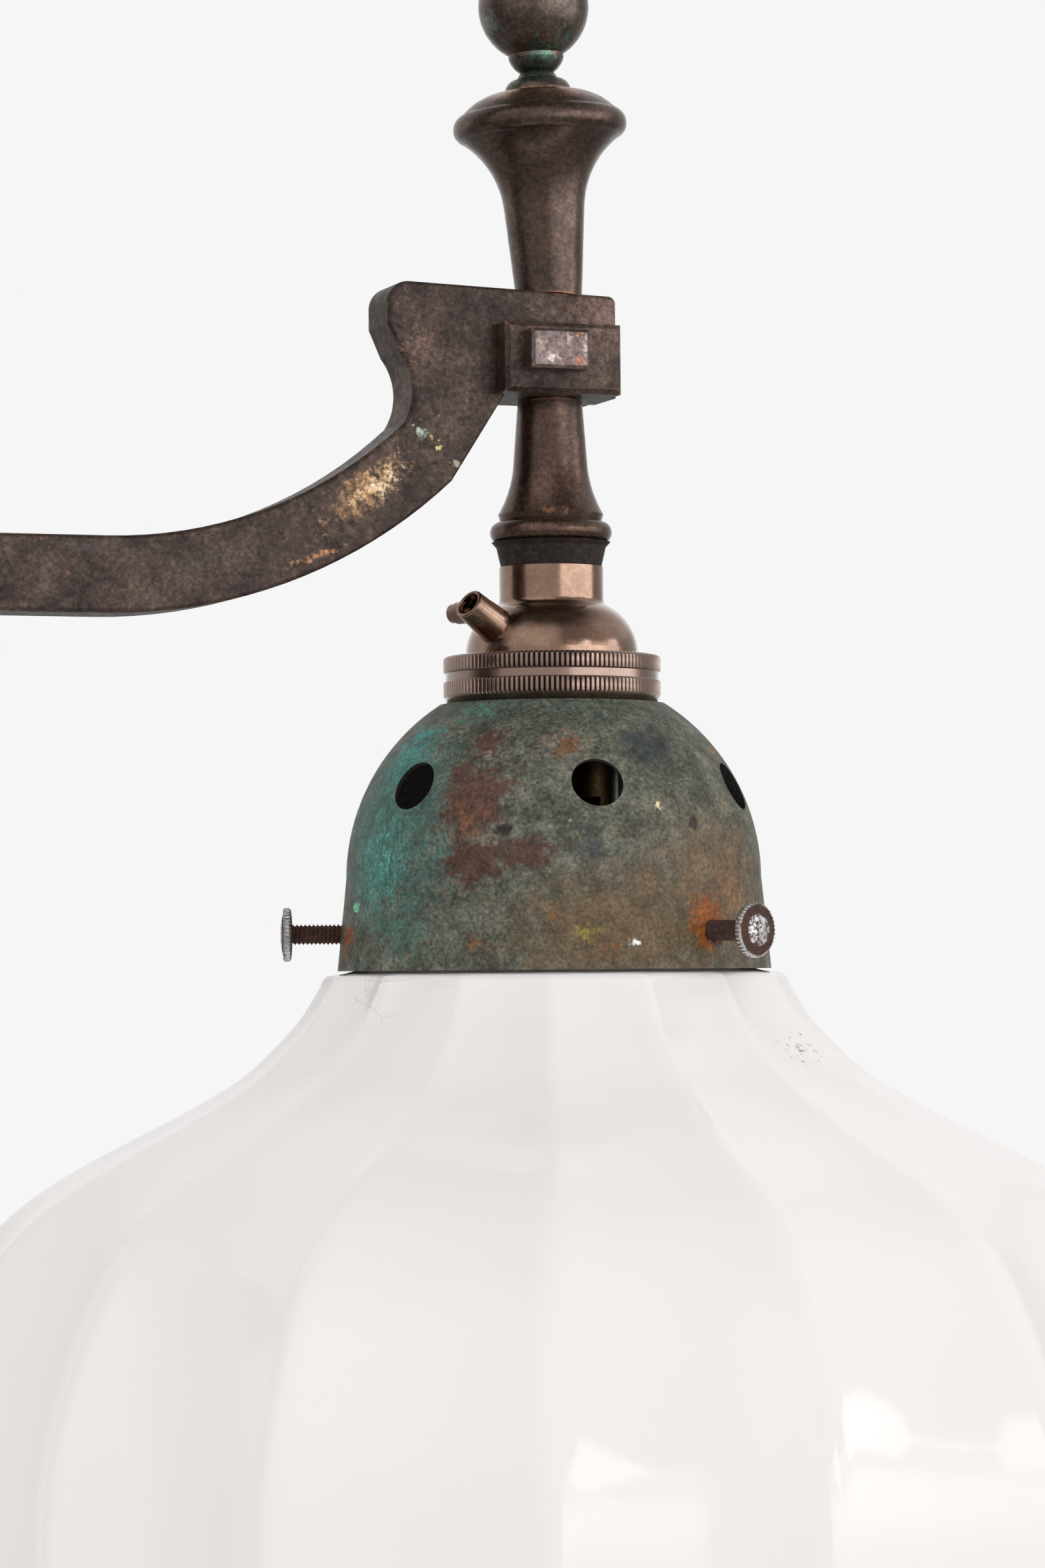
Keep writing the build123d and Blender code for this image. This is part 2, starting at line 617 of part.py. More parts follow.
def collar():
    hole = TUBE_R + FIT
    lip = (COLLAR_TOP_R + COLLAR_LIP_OUT, COLLAR_TALL)
    side = [(COLLAR_BASE_R, 0), (COLLAR_TOP_R, COLLAR_TALL - COLLAR_LIP), lip]
    body = turned(Polyline((hole, 0), *side, (hole, COLLAR_TALL), (hole, 0)))
    return hung(Pos(0, 0, COLLAR_Z) * body)


def cap_outside():
    """Neck and dome of the cap, solid, without its flange."""
    crook = (NECK_R + CROOK_OUT, NECK_Z - CROOK_DOWN)
    edge = (DOME_R, DOME_Z + CAP_WALL)
    return turned(
        Polyline((0, COLLAR_Z), (NECK_R, COLLAR_Z), (NECK_R, NECK_Z)),
        SagittaArc((NECK_R, NECK_Z), crook, -CROOK_HOLLOW),
        SagittaArc(crook, edge, DOME_BULGE),
        Polyline(edge, (DOME_R, CAP_BASE_Z), (0, CAP_BASE_Z), (0, COLLAR_Z)),
    )


def holder_cap():
    start = (NECK_R - CAP_WALL, HOLLOW_Z)
    edge = (DOME_R - CAP_WALL, DOME_Z + CAP_WALL)
    hollow = turned(
        Line((0, HOLLOW_Z), start),
        SagittaArc(start, edge, DOME_BULGE),
        Polyline(edge, (edge[0], CAP_BASE_Z), (0, CAP_BASE_Z), (0, HOLLOW_Z)),
    )
    body = cap_outside() + disc(CAP_FLANGE_R, CAP_BASE_Z, CAP_BASE_Z + CAP_FLANGE)
    return hung(body - hollow - disc(TUBE_R + FIT, HOLLOW_Z, COLLAR_Z))


def earth_frame():
    """Middle of the earth terminal's open end, with Z along its tube and X level."""
    end = Plane((-DOME_R - EARTH_OUT, 0, DOME_Z + EARTH_UP), x_dir=(0, 1, 0), z_dir=(-1, 0, 0))
    return Rot(0, 0, EARTH_TURN) * end.location * Rot(EARTH_TILT, 0, 0)


def earth_screw_frame():
    """Point on the tube's axis that the earth screw points away from, with Z along the screw."""
    return earth_frame() * Pos(0, 0, -EARTH_SCREW_DOWN) * Rot(0, 90, 0)


def earth_terminal():
    body = earth_frame() * disc(EARTH_R, -EARTH_LONG, 0)
    body += earth_screw_frame() * disc(EARTH_BOSS_R, 0, EARTH_BOSS)
    body -= earth_frame() * disc(EARTH_BORE_R, -EARTH_BORE_DEEP, 0)
    body -= earth_screw_frame() * disc(EARTH_SCREW_R + FIT, 0, EARTH_BOSS)
    return hung(body - cap_outside())


def earth_screw():
    tip = EARTH_BORE_R - EARTH_SCREW_R / 2
    screw = disc(EARTH_SCREW_R, tip, EARTH_BOSS) + disc(EARTH_HEAD_R, EARTH_BOSS, EARTH_BOSS + EARTH_HEAD)
    return hung(earth_screw_frame() * screw)


def union_ring():
    body = ring(RING_R, UNION_THREAD_R, UNION_Z, DOME_Z)
    body -= ring(RING_R, RING_R - GROOVE_DEEP, UNION_Z, UNION_Z + GROOVE_TALL)
    return hung(body + ring(UNION_THREAD_R, DOME_R + FIT, LIP_Z, DOME_Z))


def shade_ring_upper():
    hole = THREAD_R + FIT
    groove_r = RING_R - GROOVE_DEEP
    groove_z = UNION_Z - GROOVE_TALL
    foot = [(hole, RING_Z), (RING_FOOT_R, RING_Z), (RING_R, RING_Z + RING_FOOT)]
    groove = [(RING_R, groove_z), (groove_r, groove_z), (groove_r, UNION_Z)]
    return hung(turned(Polyline(*foot, *groove, (hole, UNION_Z), foot[0])))


def shade_ring_lower():
    return hung(ring(LOWER_RING_R, THREAD_R + FIT, LOWER_RING_Z, RING_Z - GALLERY_WALL))


def slot_cut():
    """One J-shaped bayonet slot, cut outward along +Y."""
    top = BARREL_Z + SLOT_TALL
    upright = Pos(0, SKIRT_R, 0) * block(SLOT_WIDE, SKIRT_R, BARREL_Z, top)
    leg_face = Pos(SKIRT_R, top - SLOT_WIDE / 2) * Rectangle(LAMP_R, SLOT_WIDE)
    return upright + revolve(Plane.YZ * leg_face, Axis.Z, SLOT_TURN)


def holder_barrel():
    body = disc(UNION_THREAD_R - FIT, UNION_Z, CAP_BASE_Z)
    body += disc(THREAD_R, THREAD_Z, UNION_Z)
    body += disc(SKIRT_R, BARREL_Z, THREAD_Z)
    body -= disc(INSERT_R + FIT, SEAT_Z, CAP_BASE_Z)
    body -= disc(RELIEF_R, BORE_TOP_Z, SEAT_Z)
    body -= disc(LAMP_R, BARREL_Z, BORE_TOP_Z)
    for turn in (0, 180):
        body -= Rot(0, 0, turn) * slot_cut()
    return hung(body)


def plunger_places():
    return [Pos(side * PLUNGER_OFF, 0, 0) for side in (-1, 1)]


def holder_insert():
    body = disc(INSERT_R, SEAT_Z, INSERT_TOP_Z)
    for place in plunger_places():
        body -= place * disc(PLUNGER_R + FIT, SEAT_Z, CHAMBER_Z)
        body -= place * disc(CHAMBER_R, CHAMBER_Z, POST_Z)
        body -= place * block(POST_WIDE + 2 * FIT, POST_DEEP + 2 * FIT, POST_Z, INSERT_TOP_Z)
    return hung(body)


def contact_plunger(place):
    tip = BORE_TOP_Z + PLUNGER_PROUD
    edge = tip + PLUNGER_R / 2
    head = CHAMBER_Z + FIT
    pin = turned(
        crown(PLUNGER_R, edge, tip - edge),
        Polyline((0, tip), (0, head), (PLUNGER_R, head), (PLUNGER_R, edge)),
    )
    return hung(place * (pin + disc(PLUNGER_HEAD_R, head, head + PLUNGER_HEAD)))


def coil_gap(coil):
    """Least clear distance between turns of the spring, measured on points."""
    count = LAP_POINTS * SPRING_TURNS
    points = [coil @ (k / count) for k in range(count + 1)]
    spans = [(a - b).length for k, a in enumerate(points) for b in points[k + LAP_POINTS // 2:]]
    return min(spans) - 2 * SPRING_WIRE_R


def contact_spring(place):
    low = CHAMBER_Z + FIT + PLUNGER_HEAD + FIT + SPRING_WIRE_R
    high = POST_Z - FIT - SPRING_WIRE_R
    coil = Helix(pitch=(high - low) / SPRING_TURNS, height=high - low, radius=SPRING_R)
    print(f"contact spring, least gap between turns {coil_gap(coil):.2f} mm")
    start = Plane(coil @ 0, z_dir=coil % 0)
    wire = sweep(start * RegularPolygon(SPRING_WIRE_R, 6), path=coil, is_frenet=True)
    return hung(place * Pos(0, 0, low) * wire)


def post_screw_frame(place):
    """Terminal screw's seat on the outer side of its post, with Z outward."""
    side = 1 if place.position.X > 0 else -1
    seat = (REACH + side * (PLUNGER_OFF + POST_WIDE / 2), 0, POST_Z + (POST_TALL + POST_SINK) / 2)
    return Plane(seat, z_dir=(side, 0, 0))


def terminal_posts():
    post = block(POST_WIDE, POST_DEEP, POST_Z, POST_Z + POST_TALL)
    hole = disc(POST_SCREW_R + FIT, -POST_BITE, 0)
    return [hung(place * post) - post_screw_frame(place) * hole for place in plunger_places()]


def terminal_screws():
    screw = disc(POST_SCREW_R, FIT - POST_BITE, 0) + disc(POST_HEAD_R, 0, POST_HEAD)
    return [post_screw_frame(place) * screw for place in plunger_places()]


def arm_flex():
    """Flex from the connector, through the arm and over into the tube."""
    x = flex_entry_x()
    lead = FilletPolyline((x, FIT - CONN_DOWN - CONN_ENTRY), (x, 0), (ARM_START_X, 0), radius=FLEX_BEND)
    return swept(FLEX_R, Curve() + [lead] + arm_line() + [block_line()])


def stem_flex():
    return hung(disc(FLEX_R, FLEX_END_Z, FLEX_SPLIT_Z))


def lamp_cores():
    """The two cores, from the end of the flex to the tops of the posts."""
    post_top = POST_Z + POST_TALL
    drop = (FLEX_END_Z - post_top) / 4
    cores = []
    for side in (-1, 1):
        near = REACH + side * (CORE_R + FIT)
        far = REACH + side * PLUNGER_OFF
        points = [(near, FLEX_END_Z), (near, FLEX_END_Z - drop), (far, post_top + drop), (far, post_top)]
        cores.append(swept(CORE_R, FilletPolyline(*points, radius=CORE_BEND * CORE_R)))
    return cores


def gallery():
    hole = THREAD_R + FIT
    under = RING_Z - GALLERY_WALL
    inner = GALLERY_R - GALLERY_WALL
    inner_seat = sqrt(inner**2 - (under - EQUATOR_Z) ** 2)
    half = (GALLERY_SEAT_R + GALLERY_R) / 2
    inner_half = (inner_seat + inner) / 2
    crest = (half, EQUATOR_Z + sqrt(GALLERY_R**2 - half**2))
    inner_crest = (inner_half, EQUATOR_Z + sqrt(inner**2 - inner_half**2))
    inner_mouth = (GALLERY_MOUTH_R - GALLERY_WALL, MOUTH_Z)
    shell = turned(
        Line((hole, RING_Z), (GALLERY_SEAT_R, RING_Z)),
        ThreePointArc((GALLERY_SEAT_R, RING_Z), crest, (GALLERY_R, EQUATOR_Z)),
        Polyline((GALLERY_R, EQUATOR_Z), (GALLERY_MOUTH_R, MOUTH_Z), inner_mouth, (inner, EQUATOR_Z)),
        ThreePointArc((inner, EQUATOR_Z), inner_crest, (inner_seat, under)),
        Polyline((inner_seat, under), (hole, under), (hole, RING_Z)),
    )
    vent = Rot(0, -VENT_TILT, 0) * rod(VENT_R, (inner / 2, 0, 0), (2 * GALLERY_R, 0, 0))
    for k in range(VENT_COUNT):
        shell -= Pos(0, 0, EQUATOR_Z) * Rot(0, 0, VENT_TURN + k * 360 / VENT_COUNT) * vent
    tap = rod(THUMB_R + FIT, (inner / 2, 0, THUMB_Z), (2 * GALLERY_R, 0, THUMB_Z))
    for turn in THUMB_TURNS:
        shell -= Rot(0, 0, turn) * tap
    return hung(shell)


def gallery_screw(turn):
    tip = GLASS_NECK_R + RUN_GAP
    head = THUMB_WALL_R + THUMB_SHOWN
    rim = head + THUMB_RIM
    cap_r = THUMB_HEAD_R - THUMB_BEVEL
    grip = [(cap_r, head), (THUMB_HEAD_R, head + THUMB_BEVEL), (THUMB_HEAD_R, rim), (cap_r, rim)]
    shape = turned(
        Polyline((0, tip), (THUMB_R, tip), (THUMB_R, head), *grip),
        crown(cap_r, rim, THUMB_CROWN),
        Line((0, rim + THUMB_CROWN), (0, tip)),
    )
    return hung(Rot(0, 0, turn) * Pos(0, 0, THUMB_Z) * Rot(0, 90, 0) * shape)


def flute_hollow_r(ridge_r):
    """Least radius of a ring of flutes, midway between two ridges."""
    return ridge_r * (cos(pi / FLUTE_COUNT) - FLUTE_SAG)


def fluted_section(depth, ridge_r):
    """Closed ring of hollow flutes that meet in sharp ridges."""
    step = 2 * pi / FLUTE_COUNT
    hollow_r = flute_hollow_r(ridge_r)
    edges = []
    for k in range(FLUTE_COUNT):
        turn = radians(FLUTE_TURN) + k * step
        spots = ((ridge_r, turn), (hollow_r, turn + step / 2), (ridge_r, turn + step))
        edges.append(ThreePointArc(*[(r * cos(a), r * sin(a)) for r, a in spots]))
    return Pos(0, 0, MOUTH_Z - depth) * make_face(edges)


def fluted_bell(stations):
    return loft([fluted_section(depth, ridge_r) for depth, ridge_r in reversed(stations)])


def outer_stations():
    return [(depth, GLASS_NECK_R + out) for depth, out in RIDGE]


def inner_stations():
    """The outer stations moved in by the glass's thickness, square to the slope."""
    outer = outer_stations()
    stations = []
    for k, (depth, ridge_r) in enumerate(outer):
        before = outer[max(k - 1, 0)]
        after = outer[min(k + 1, len(outer) - 1)]
        slope = atan2(after[1] - before[1], after[0] - before[0])
        stations.append((depth + GLASS * sin(slope), ridge_r - GLASS * cos(slope)))
    (depth, ridge_r), (next_depth, next_r) = stations[:2]
    top = outer[0][0] + GLASS
    stations[0] = (top, ridge_r + (next_r - ridge_r) * (top - depth) / (next_depth - depth))
    stations[-1] = (outer[-1][0], stations[-1][1])
    return stations


def shade():
    outer = outer_stations()
    inner = inner_stations()
    shoulder = (flute_hollow_r(outer[0][1]) - SHOULDER_STEP, MOUTH_Z - outer[0][0])
    foot_z = shoulder[1] - GLASS / 2
    neck_foot = (GLASS_NECK_R, MOUTH_Z + NECK_FOOT)
    lip_low = MOUTH_Z + LIP_UP
    lip_top = lip_low + LIP_TALL
    lip = [(GLASS_NECK_R, lip_low), (LIP_R, lip_low), (LIP_R, lip_top)]
    neck = turned(
        Polyline((0, foot_z), (shoulder[0], foot_z), shoulder),
        SagittaArc(shoulder, neck_foot, NECK_HOLLOW),
        Polyline(neck_foot, *lip, (0, lip_top), (0, foot_z)),
    )
    throat = disc(GLASS_NECK_R - GLASS, MOUTH_Z - inner[0][0] - GLASS, lip_top)
    return hung(neck + fluted_bell(outer) - fluted_bell(inner) - throat)


NODES = {
    "wall_plate": wall_plate(),
    "arm_socket": arm_socket(),
    "socket_screw": socket_screw(),
    "terminal_block": terminal_block(),
    "terminal_block_screws": terminal_block_screws(),
    "arm_bar": arm_bar(),
    "end_block": end_block(),
    "lock_key": lock_key(),
    "arm_flex": arm_flex(),
    "vase": vase(),
    "finial": finial(),
    "finial_stud": finial_stud(),
    "stem_tube": stem_tube(),
    "baluster": baluster(),
    "collar": collar(),
    "holder_cap": holder_cap(),
    "earth_terminal": earth_terminal(),
    "earth_screw": earth_screw(),
    "union_ring": union_ring(),
    "shade_ring_upper": shade_ring_upper(),
    "shade_ring_lower": shade_ring_lower(),
    "holder_barrel": holder_barrel(),
    "holder_insert": holder_insert(),
    "terminal_posts": terminal_posts(),
    "terminal_screws": terminal_screws(),
    "stem_flex": stem_flex(),
    "lamp_cores": lamp_cores(),
    "gallery": gallery(),
    "shade": shade(),
}
for number, spot in enumerate(plunger_places(), start=1):
    NODES[f"contact_plunger_{number}"] = contact_plunger(spot)
    NODES[f"contact_spring_{number}"] = contact_spring(spot)
for number, turn in enumerate(THUMB_TURNS, start=1):
    NODES[f"gallery_screw_{number}"] = gallery_screw(turn)

os.makedirs("parts", exist_ok=True)
for name, shape in NODES.items():
    export_step(Compound(children=shape) if isinstance(shape, list) else shape, f"parts/{name}.step")
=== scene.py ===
from math import cos, pi, radians, sin

import bmesh
import bpy
from mathutils import Matrix, Quaternion, Vector
from mathutils.geometry import interpolate_bezier


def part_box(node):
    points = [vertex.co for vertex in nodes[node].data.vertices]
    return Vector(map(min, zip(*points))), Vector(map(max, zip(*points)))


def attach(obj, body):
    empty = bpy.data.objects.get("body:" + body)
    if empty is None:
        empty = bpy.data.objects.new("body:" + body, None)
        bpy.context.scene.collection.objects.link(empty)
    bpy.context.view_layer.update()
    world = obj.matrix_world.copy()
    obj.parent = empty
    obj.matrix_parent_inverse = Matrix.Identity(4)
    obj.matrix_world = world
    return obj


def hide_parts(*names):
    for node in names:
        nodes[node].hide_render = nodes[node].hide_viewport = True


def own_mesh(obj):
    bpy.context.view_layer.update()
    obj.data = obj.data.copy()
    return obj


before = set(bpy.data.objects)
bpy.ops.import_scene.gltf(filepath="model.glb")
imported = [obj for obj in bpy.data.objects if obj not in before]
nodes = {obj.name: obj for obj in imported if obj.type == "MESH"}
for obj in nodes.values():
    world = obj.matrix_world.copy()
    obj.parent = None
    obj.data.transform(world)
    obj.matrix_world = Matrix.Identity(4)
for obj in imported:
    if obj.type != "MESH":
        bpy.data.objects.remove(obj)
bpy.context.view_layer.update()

MM = 0.001

# Sizes of the lamp, as in the part's source (mm)
AXIS_X = 250.0          # lamp axis out from the wall
DOME_FOOT_Z = -13.85    # top face of the upper knurled ring
RING_JOIN_Z = -17.95    # joint between the two knurled rings
RING_FOOT_Z = -23.25    # lower ring on the gallery
MOUTH_Z = -74.89        # gallery's mouth
RING_R = 21.2
GROOVE_R = 20.8
FLUTES = 16
FLUTE_TURN = 1.8        # degrees
FLUTE_DEEP = 0.0432     # hollow of a flute for each unit of its radius
KNURLS = 134
KNURL_DEEP = 0.36
THUMB_Z = -67.74        # axis of the thumbscrews
THUMB_ANGLES = (-64.0, 50.0, 163.0)
THUMB_R = 2.0
THUMB_KNURLS = 40
THUMB_KNURL_DEEP = 0.05     # for each unit of the head's radius
THREAD_PITCH = 0.8
THREAD_DEEP = 0.36
THREAD_START = 38.1     # first row of the thread, out from the lamp axis
EARTH_END = (-21.6, 0.0, -4.45)     # middle of the earth terminal's open end, before its turn
EARTH_TURN = 22.0       # degrees from the wall towards the front
EARTH_TILT = 31.0       # degrees above level
EARTH_SCREW_DOWN = 2.7  # its screw below the open end
SPRING_TURNS = 4
SPRING_WIRE_R = 0.25

# Fineness of the meshes
FLUTE_STEPS = 24        # steps across one flute
KNURL_STEPS = 8
THUMB_KNURL_STEPS = 6
THREAD_STEPS = 32       # steps round the thread
THREAD_ROW = 0.1        # mm from one row of the thread to the next
THREAD_ROWS = 129
TUBE_STEPS = 48
BOSS_STEPS = 32
COIL_STEPS = 28         # rounds of the wire's mesh in one turn of a spring
WIRE_SIDES = 8
WELD = 1e-6             # m, closer points become one
CREASE = 38             # degrees, a sharper edge stays sharp


def linear(hex_colour):
    """Linear RGBA of an sRGB hex colour."""
    parts = [int(hex_colour[k:k + 2], 16) / 255 for k in (1, 3, 5)]
    return tuple(c / 12.92 if c <= 0.04045 else ((c + 0.055) / 1.055) ** 2.4 for c in parts) + (1.0,)


def metres(point):
    """A point or size given in mm, as metres."""
    return tuple(c * MM for c in point)


def add(tree, kind, inputs=None, stops=None, **settings):
    """Add a node with its settings; an input is a value, a socket, or a node's first output."""
    node = tree.nodes.new(kind)
    for name, value in settings.items():
        setattr(node, name, value)
    for key, value in (inputs or {}).items():
        if isinstance(value, bpy.types.Node):
            value = value.outputs[0]
        if isinstance(value, bpy.types.NodeSocket):
            tree.links.new(value, node.inputs[key])
        else:
            node.inputs[key].default_value = value
    for k, (spot, colour) in enumerate(stops or ()):
        elements = node.color_ramp.elements
        element = elements[k] if k < 2 else elements.new(spot)
        element.position = spot
        element.color = linear(colour)
    return node


# Turned pieces with hollows cut round them: flutes of the shade, knurling and threads

def ribbed_turning():
    """Tree that turns a profile about Z and cuts hollows across it, straight or as a thread."""
    tree = bpy.data.node_groups.new("ribbed_turning", "GeometryNodeTree")
    sockets = {}
    for name, kind in (
        ("Profile", "NodeSocketObject"), ("Steps Round", "NodeSocketInt"), ("Ribs", "NodeSocketFloat"),
        ("Depth", "NodeSocketFloat"), ("Hollow Share", "NodeSocketFloat"),
        ("Ridge Rounding", "NodeSocketFloat"), ("Start Turn", "NodeSocketFloat"),
        ("Lead", "NodeSocketFloat"), ("Finish", "NodeSocketMaterial"),
    ):
        sockets[name] = tree.interface.new_socket(name, in_out="INPUT", socket_type=kind).identifier
    tree.interface.new_socket("Geometry", in_out="OUTPUT", socket_type="NodeSocketGeometry")
    given = add(tree, "NodeGroupInput").outputs
    profile = add(tree, "GeometryNodeObjectInfo", {"Object": given["Profile"]}).outputs["Geometry"]
    rows = add(
        tree, "GeometryNodeAttributeDomainSize", {"Geometry": profile}, component="MESH",
    ).outputs["Point Count"]
    columns = add(tree, "ShaderNodeMath", {0: given["Steps Round"], 1: 1.0}, operation="ADD")
    grid = add(tree, "GeometryNodeMeshGrid", {
        "Size X": 1.0, "Size Y": 1.0, "Vertices X": columns, "Vertices Y": rows,
    })
    spread = add(tree, "ShaderNodeSeparateXYZ", {0: grid.outputs["UV Map"]}).outputs
    last = add(tree, "ShaderNodeMath", {0: rows, 1: 1.0}, operation="SUBTRACT")
    along = add(tree, "ShaderNodeMath", {0: spread["Y"], 1: last}, operation="MULTIPLY")
    row = add(tree, "ShaderNodeMath", {0: along}, operation="ROUND")
    # What the profile says at this row: its point, its share of the ribs and its plating
    point, weight, plating = (
        add(
            tree, "GeometryNodeSampleIndex", {"Geometry": profile, "Value": field, "Index": row},
            data_type=kind, domain="POINT",
        )
        for field, kind in (
            (add(tree, "GeometryNodeInputPosition"), "FLOAT_VECTOR"),
            (add(tree, "GeometryNodeInputNamedAttribute", {"Name": "rib"}, data_type="FLOAT"), "FLOAT"),
            (add(tree, "GeometryNodeInputNamedAttribute", {"Name": "plating"}, data_type="FLOAT"), "FLOAT"),
        )
    )
    at = add(tree, "ShaderNodeSeparateXYZ", {0: point}).outputs
    # Place across one hollow: 0 in its middle, 1 on the ridge
    turned = add(tree, "ShaderNodeMath", {0: spread["X"], 1: given["Start Turn"]}, operation="SUBTRACT")
    count = add(tree, "ShaderNodeMath", {0: turned, 1: given["Ribs"]}, operation="MULTIPLY")
    phase = add(tree, "ShaderNodeMath", {0: at["Z"], 1: given["Lead"], 2: count}, operation="MULTIPLY_ADD")
    part = add(tree, "ShaderNodeMath", {0: phase}, operation="FRACT")
    across = add(tree, "ShaderNodeMath", {0: part, 1: 2.0, 2: -1.0}, operation="MULTIPLY_ADD")
    aside = add(tree, "ShaderNodeMath", {0: across}, operation="ABSOLUTE")
    share = add(tree, "ShaderNodeMath", {0: aside, 1: given["Hollow Share"]}, operation="DIVIDE")
    from_middle = add(tree, "ShaderNodeMath", {0: share, 1: 1.0}, operation="MINIMUM")
    # Depth of the hollow: a parabola whose ridge is rounded over its last part
    rounding = given["Ridge Rounding"]
    hollow = add(tree, "ShaderNodeMath", {0: 1.0, 1: rounding}, operation="SUBTRACT")
    past = add(tree, "ShaderNodeMath", {0: from_middle, 1: hollow}, operation="SUBTRACT")
    over = add(tree, "ShaderNodeMath", {0: past, 1: 0.0}, operation="MAXIMUM")
    bend = add(tree, "ShaderNodeMath", {0: over, 1: over}, operation="MULTIPLY")
    soft = add(tree, "ShaderNodeMath", {0: bend, 1: rounding}, operation="DIVIDE")
    square = add(tree, "ShaderNodeMath", {0: from_middle, 1: from_middle}, operation="MULTIPLY")
    rest = add(tree, "ShaderNodeMath", {0: hollow, 1: square}, operation="SUBTRACT")
    full = add(tree, "ShaderNodeMath", {0: rest, 1: soft}, operation="ADD")
    height = add(tree, "ShaderNodeMath", {0: full, 1: hollow}, operation="DIVIDE")
    deep = add(tree, "ShaderNodeMath", {0: height, 1: given["Depth"]}, operation="MULTIPLY")
    cut = add(tree, "ShaderNodeMath", {0: deep, 1: weight}, operation="MULTIPLY")
    kept = add(tree, "ShaderNodeMath", {0: 1.0, 1: cut}, operation="SUBTRACT")
    radius = add(tree, "ShaderNodeMath", {0: at["X"], 1: kept}, operation="MULTIPLY")
    angle = add(tree, "ShaderNodeMath", {0: spread["X"], 1: 2 * pi}, operation="MULTIPLY")
    x = add(tree, "ShaderNodeMath", {0: angle}, operation="COSINE")
    y = add(tree, "ShaderNodeMath", {0: angle}, operation="SINE")
    x = add(tree, "ShaderNodeMath", {0: x, 1: radius}, operation="MULTIPLY")
    y = add(tree, "ShaderNodeMath", {0: y, 1: radius}, operation="MULTIPLY")
    place = add(tree, "ShaderNodeCombineXYZ", {"X": x, "Y": y, "Z": at["Z"]})
    skin = grid
    dip = add(tree, "ShaderNodeMath", {0: height, 1: weight}, operation="MULTIPLY")
    for name, value in (("plating", plating), ("dip", dip)):
        skin = add(
            tree, "GeometryNodeStoreNamedAttribute", {"Geometry": skin, "Name": name, "Value": value},
            data_type="FLOAT", domain="POINT",
        )
    skin = add(tree, "GeometryNodeSetPosition", {"Geometry": skin, "Position": place})
    skin = add(tree, "GeometryNodeMergeByDistance", {"Geometry": skin, "Distance": WELD})
    crease = add(tree, "GeometryNodeInputMeshEdgeAngle").outputs["Unsigned Angle"]
    sharp = add(tree, "FunctionNodeCompare", {0: crease, 1: radians(CREASE)}, operation="GREATER_THAN")
    skin = add(tree, "GeometryNodeSetShadeSmooth", {"Geometry": skin, "Shade Smooth": True}, domain="FACE")
    skin = add(
        tree, "GeometryNodeSetShadeSmooth", {"Geometry": skin, "Selection": sharp, "Shade Smooth": False},
        domain="EDGE",
    )
    skin = add(tree, "GeometryNodeRealizeInstances", {"Geometry": skin})
    skin = add(tree, "GeometryNodeSetMaterial", {"Geometry": skin, "Material": given["Finish"]})
    add(tree, "NodeGroupOutput", {"Geometry": skin})
    return tree, sockets


turning_tree, turning_sockets = ribbed_turning()


def ribbed_mesh(
    name, profile, finish, steps_round, ribs=1, depth=0.0, hollow=1.0, rounding=0.2, turn=0.0, lead=0.0,
):
    """Mesh of a turned piece.

    The profile's rows are radius, height, how much of the ribs they show and, on steel, how much of its
    plating is left.
    """
    line = bpy.data.meshes.new(name + "_profile")
    line.from_pydata([metres((row[0], 0, row[1])) for row in profile], [], [])
    line.attributes.new("rib", "FLOAT", "POINT").data.foreach_set("value", [row[2] for row in profile])
    plating = [row[3] if len(row) > 3 else 0.0 for row in profile]
    line.attributes.new("plating", "FLOAT", "POINT").data.foreach_set("value", plating)
    pattern = bpy.data.objects.new(name + "_profile", line)
    maker = bpy.data.objects.new(name + "_turning", bpy.data.meshes.new(name + "_turning"))
    for item in (pattern, maker):
        bpy.context.scene.collection.objects.link(item)
    turning = maker.modifiers.new("turning", "NODES")
    turning.node_group = turning_tree
    for key, value in {
        "Profile": pattern, "Steps Round": steps_round, "Ribs": float(ribs), "Depth": depth,
        "Hollow Share": hollow, "Ridge Rounding": rounding, "Start Turn": turn, "Lead": lead,
        "Finish": finish,
    }.items():
        turning[turning_sockets[key]] = value
    graph = bpy.context.evaluated_depsgraph_get()
    mesh = bpy.data.meshes.new_from_object(maker.evaluated_get(graph), depsgraph=graph)
    for item in (maker, pattern):
        bpy.data.objects.remove(item)
    return mesh


def piece(name, meshes, finish, place, body, node):
    """Put meshes in their place as one piece that stands for a node of the part."""
    shape = bmesh.new()
    for mesh in meshes:
        shape.from_mesh(mesh)
    bmesh.ops.recalc_face_normals(shape, faces=shape.faces)
    shape.transform(place)
    whole = bpy.data.meshes.new(name)
    shape.to_mesh(whole)
    shape.free()
    whole.materials.append(finish)
    item = bpy.data.objects.new(name, whole)
    bpy.context.scene.collection.objects.link(item)
    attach(item, body)
    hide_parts(node)
    return item


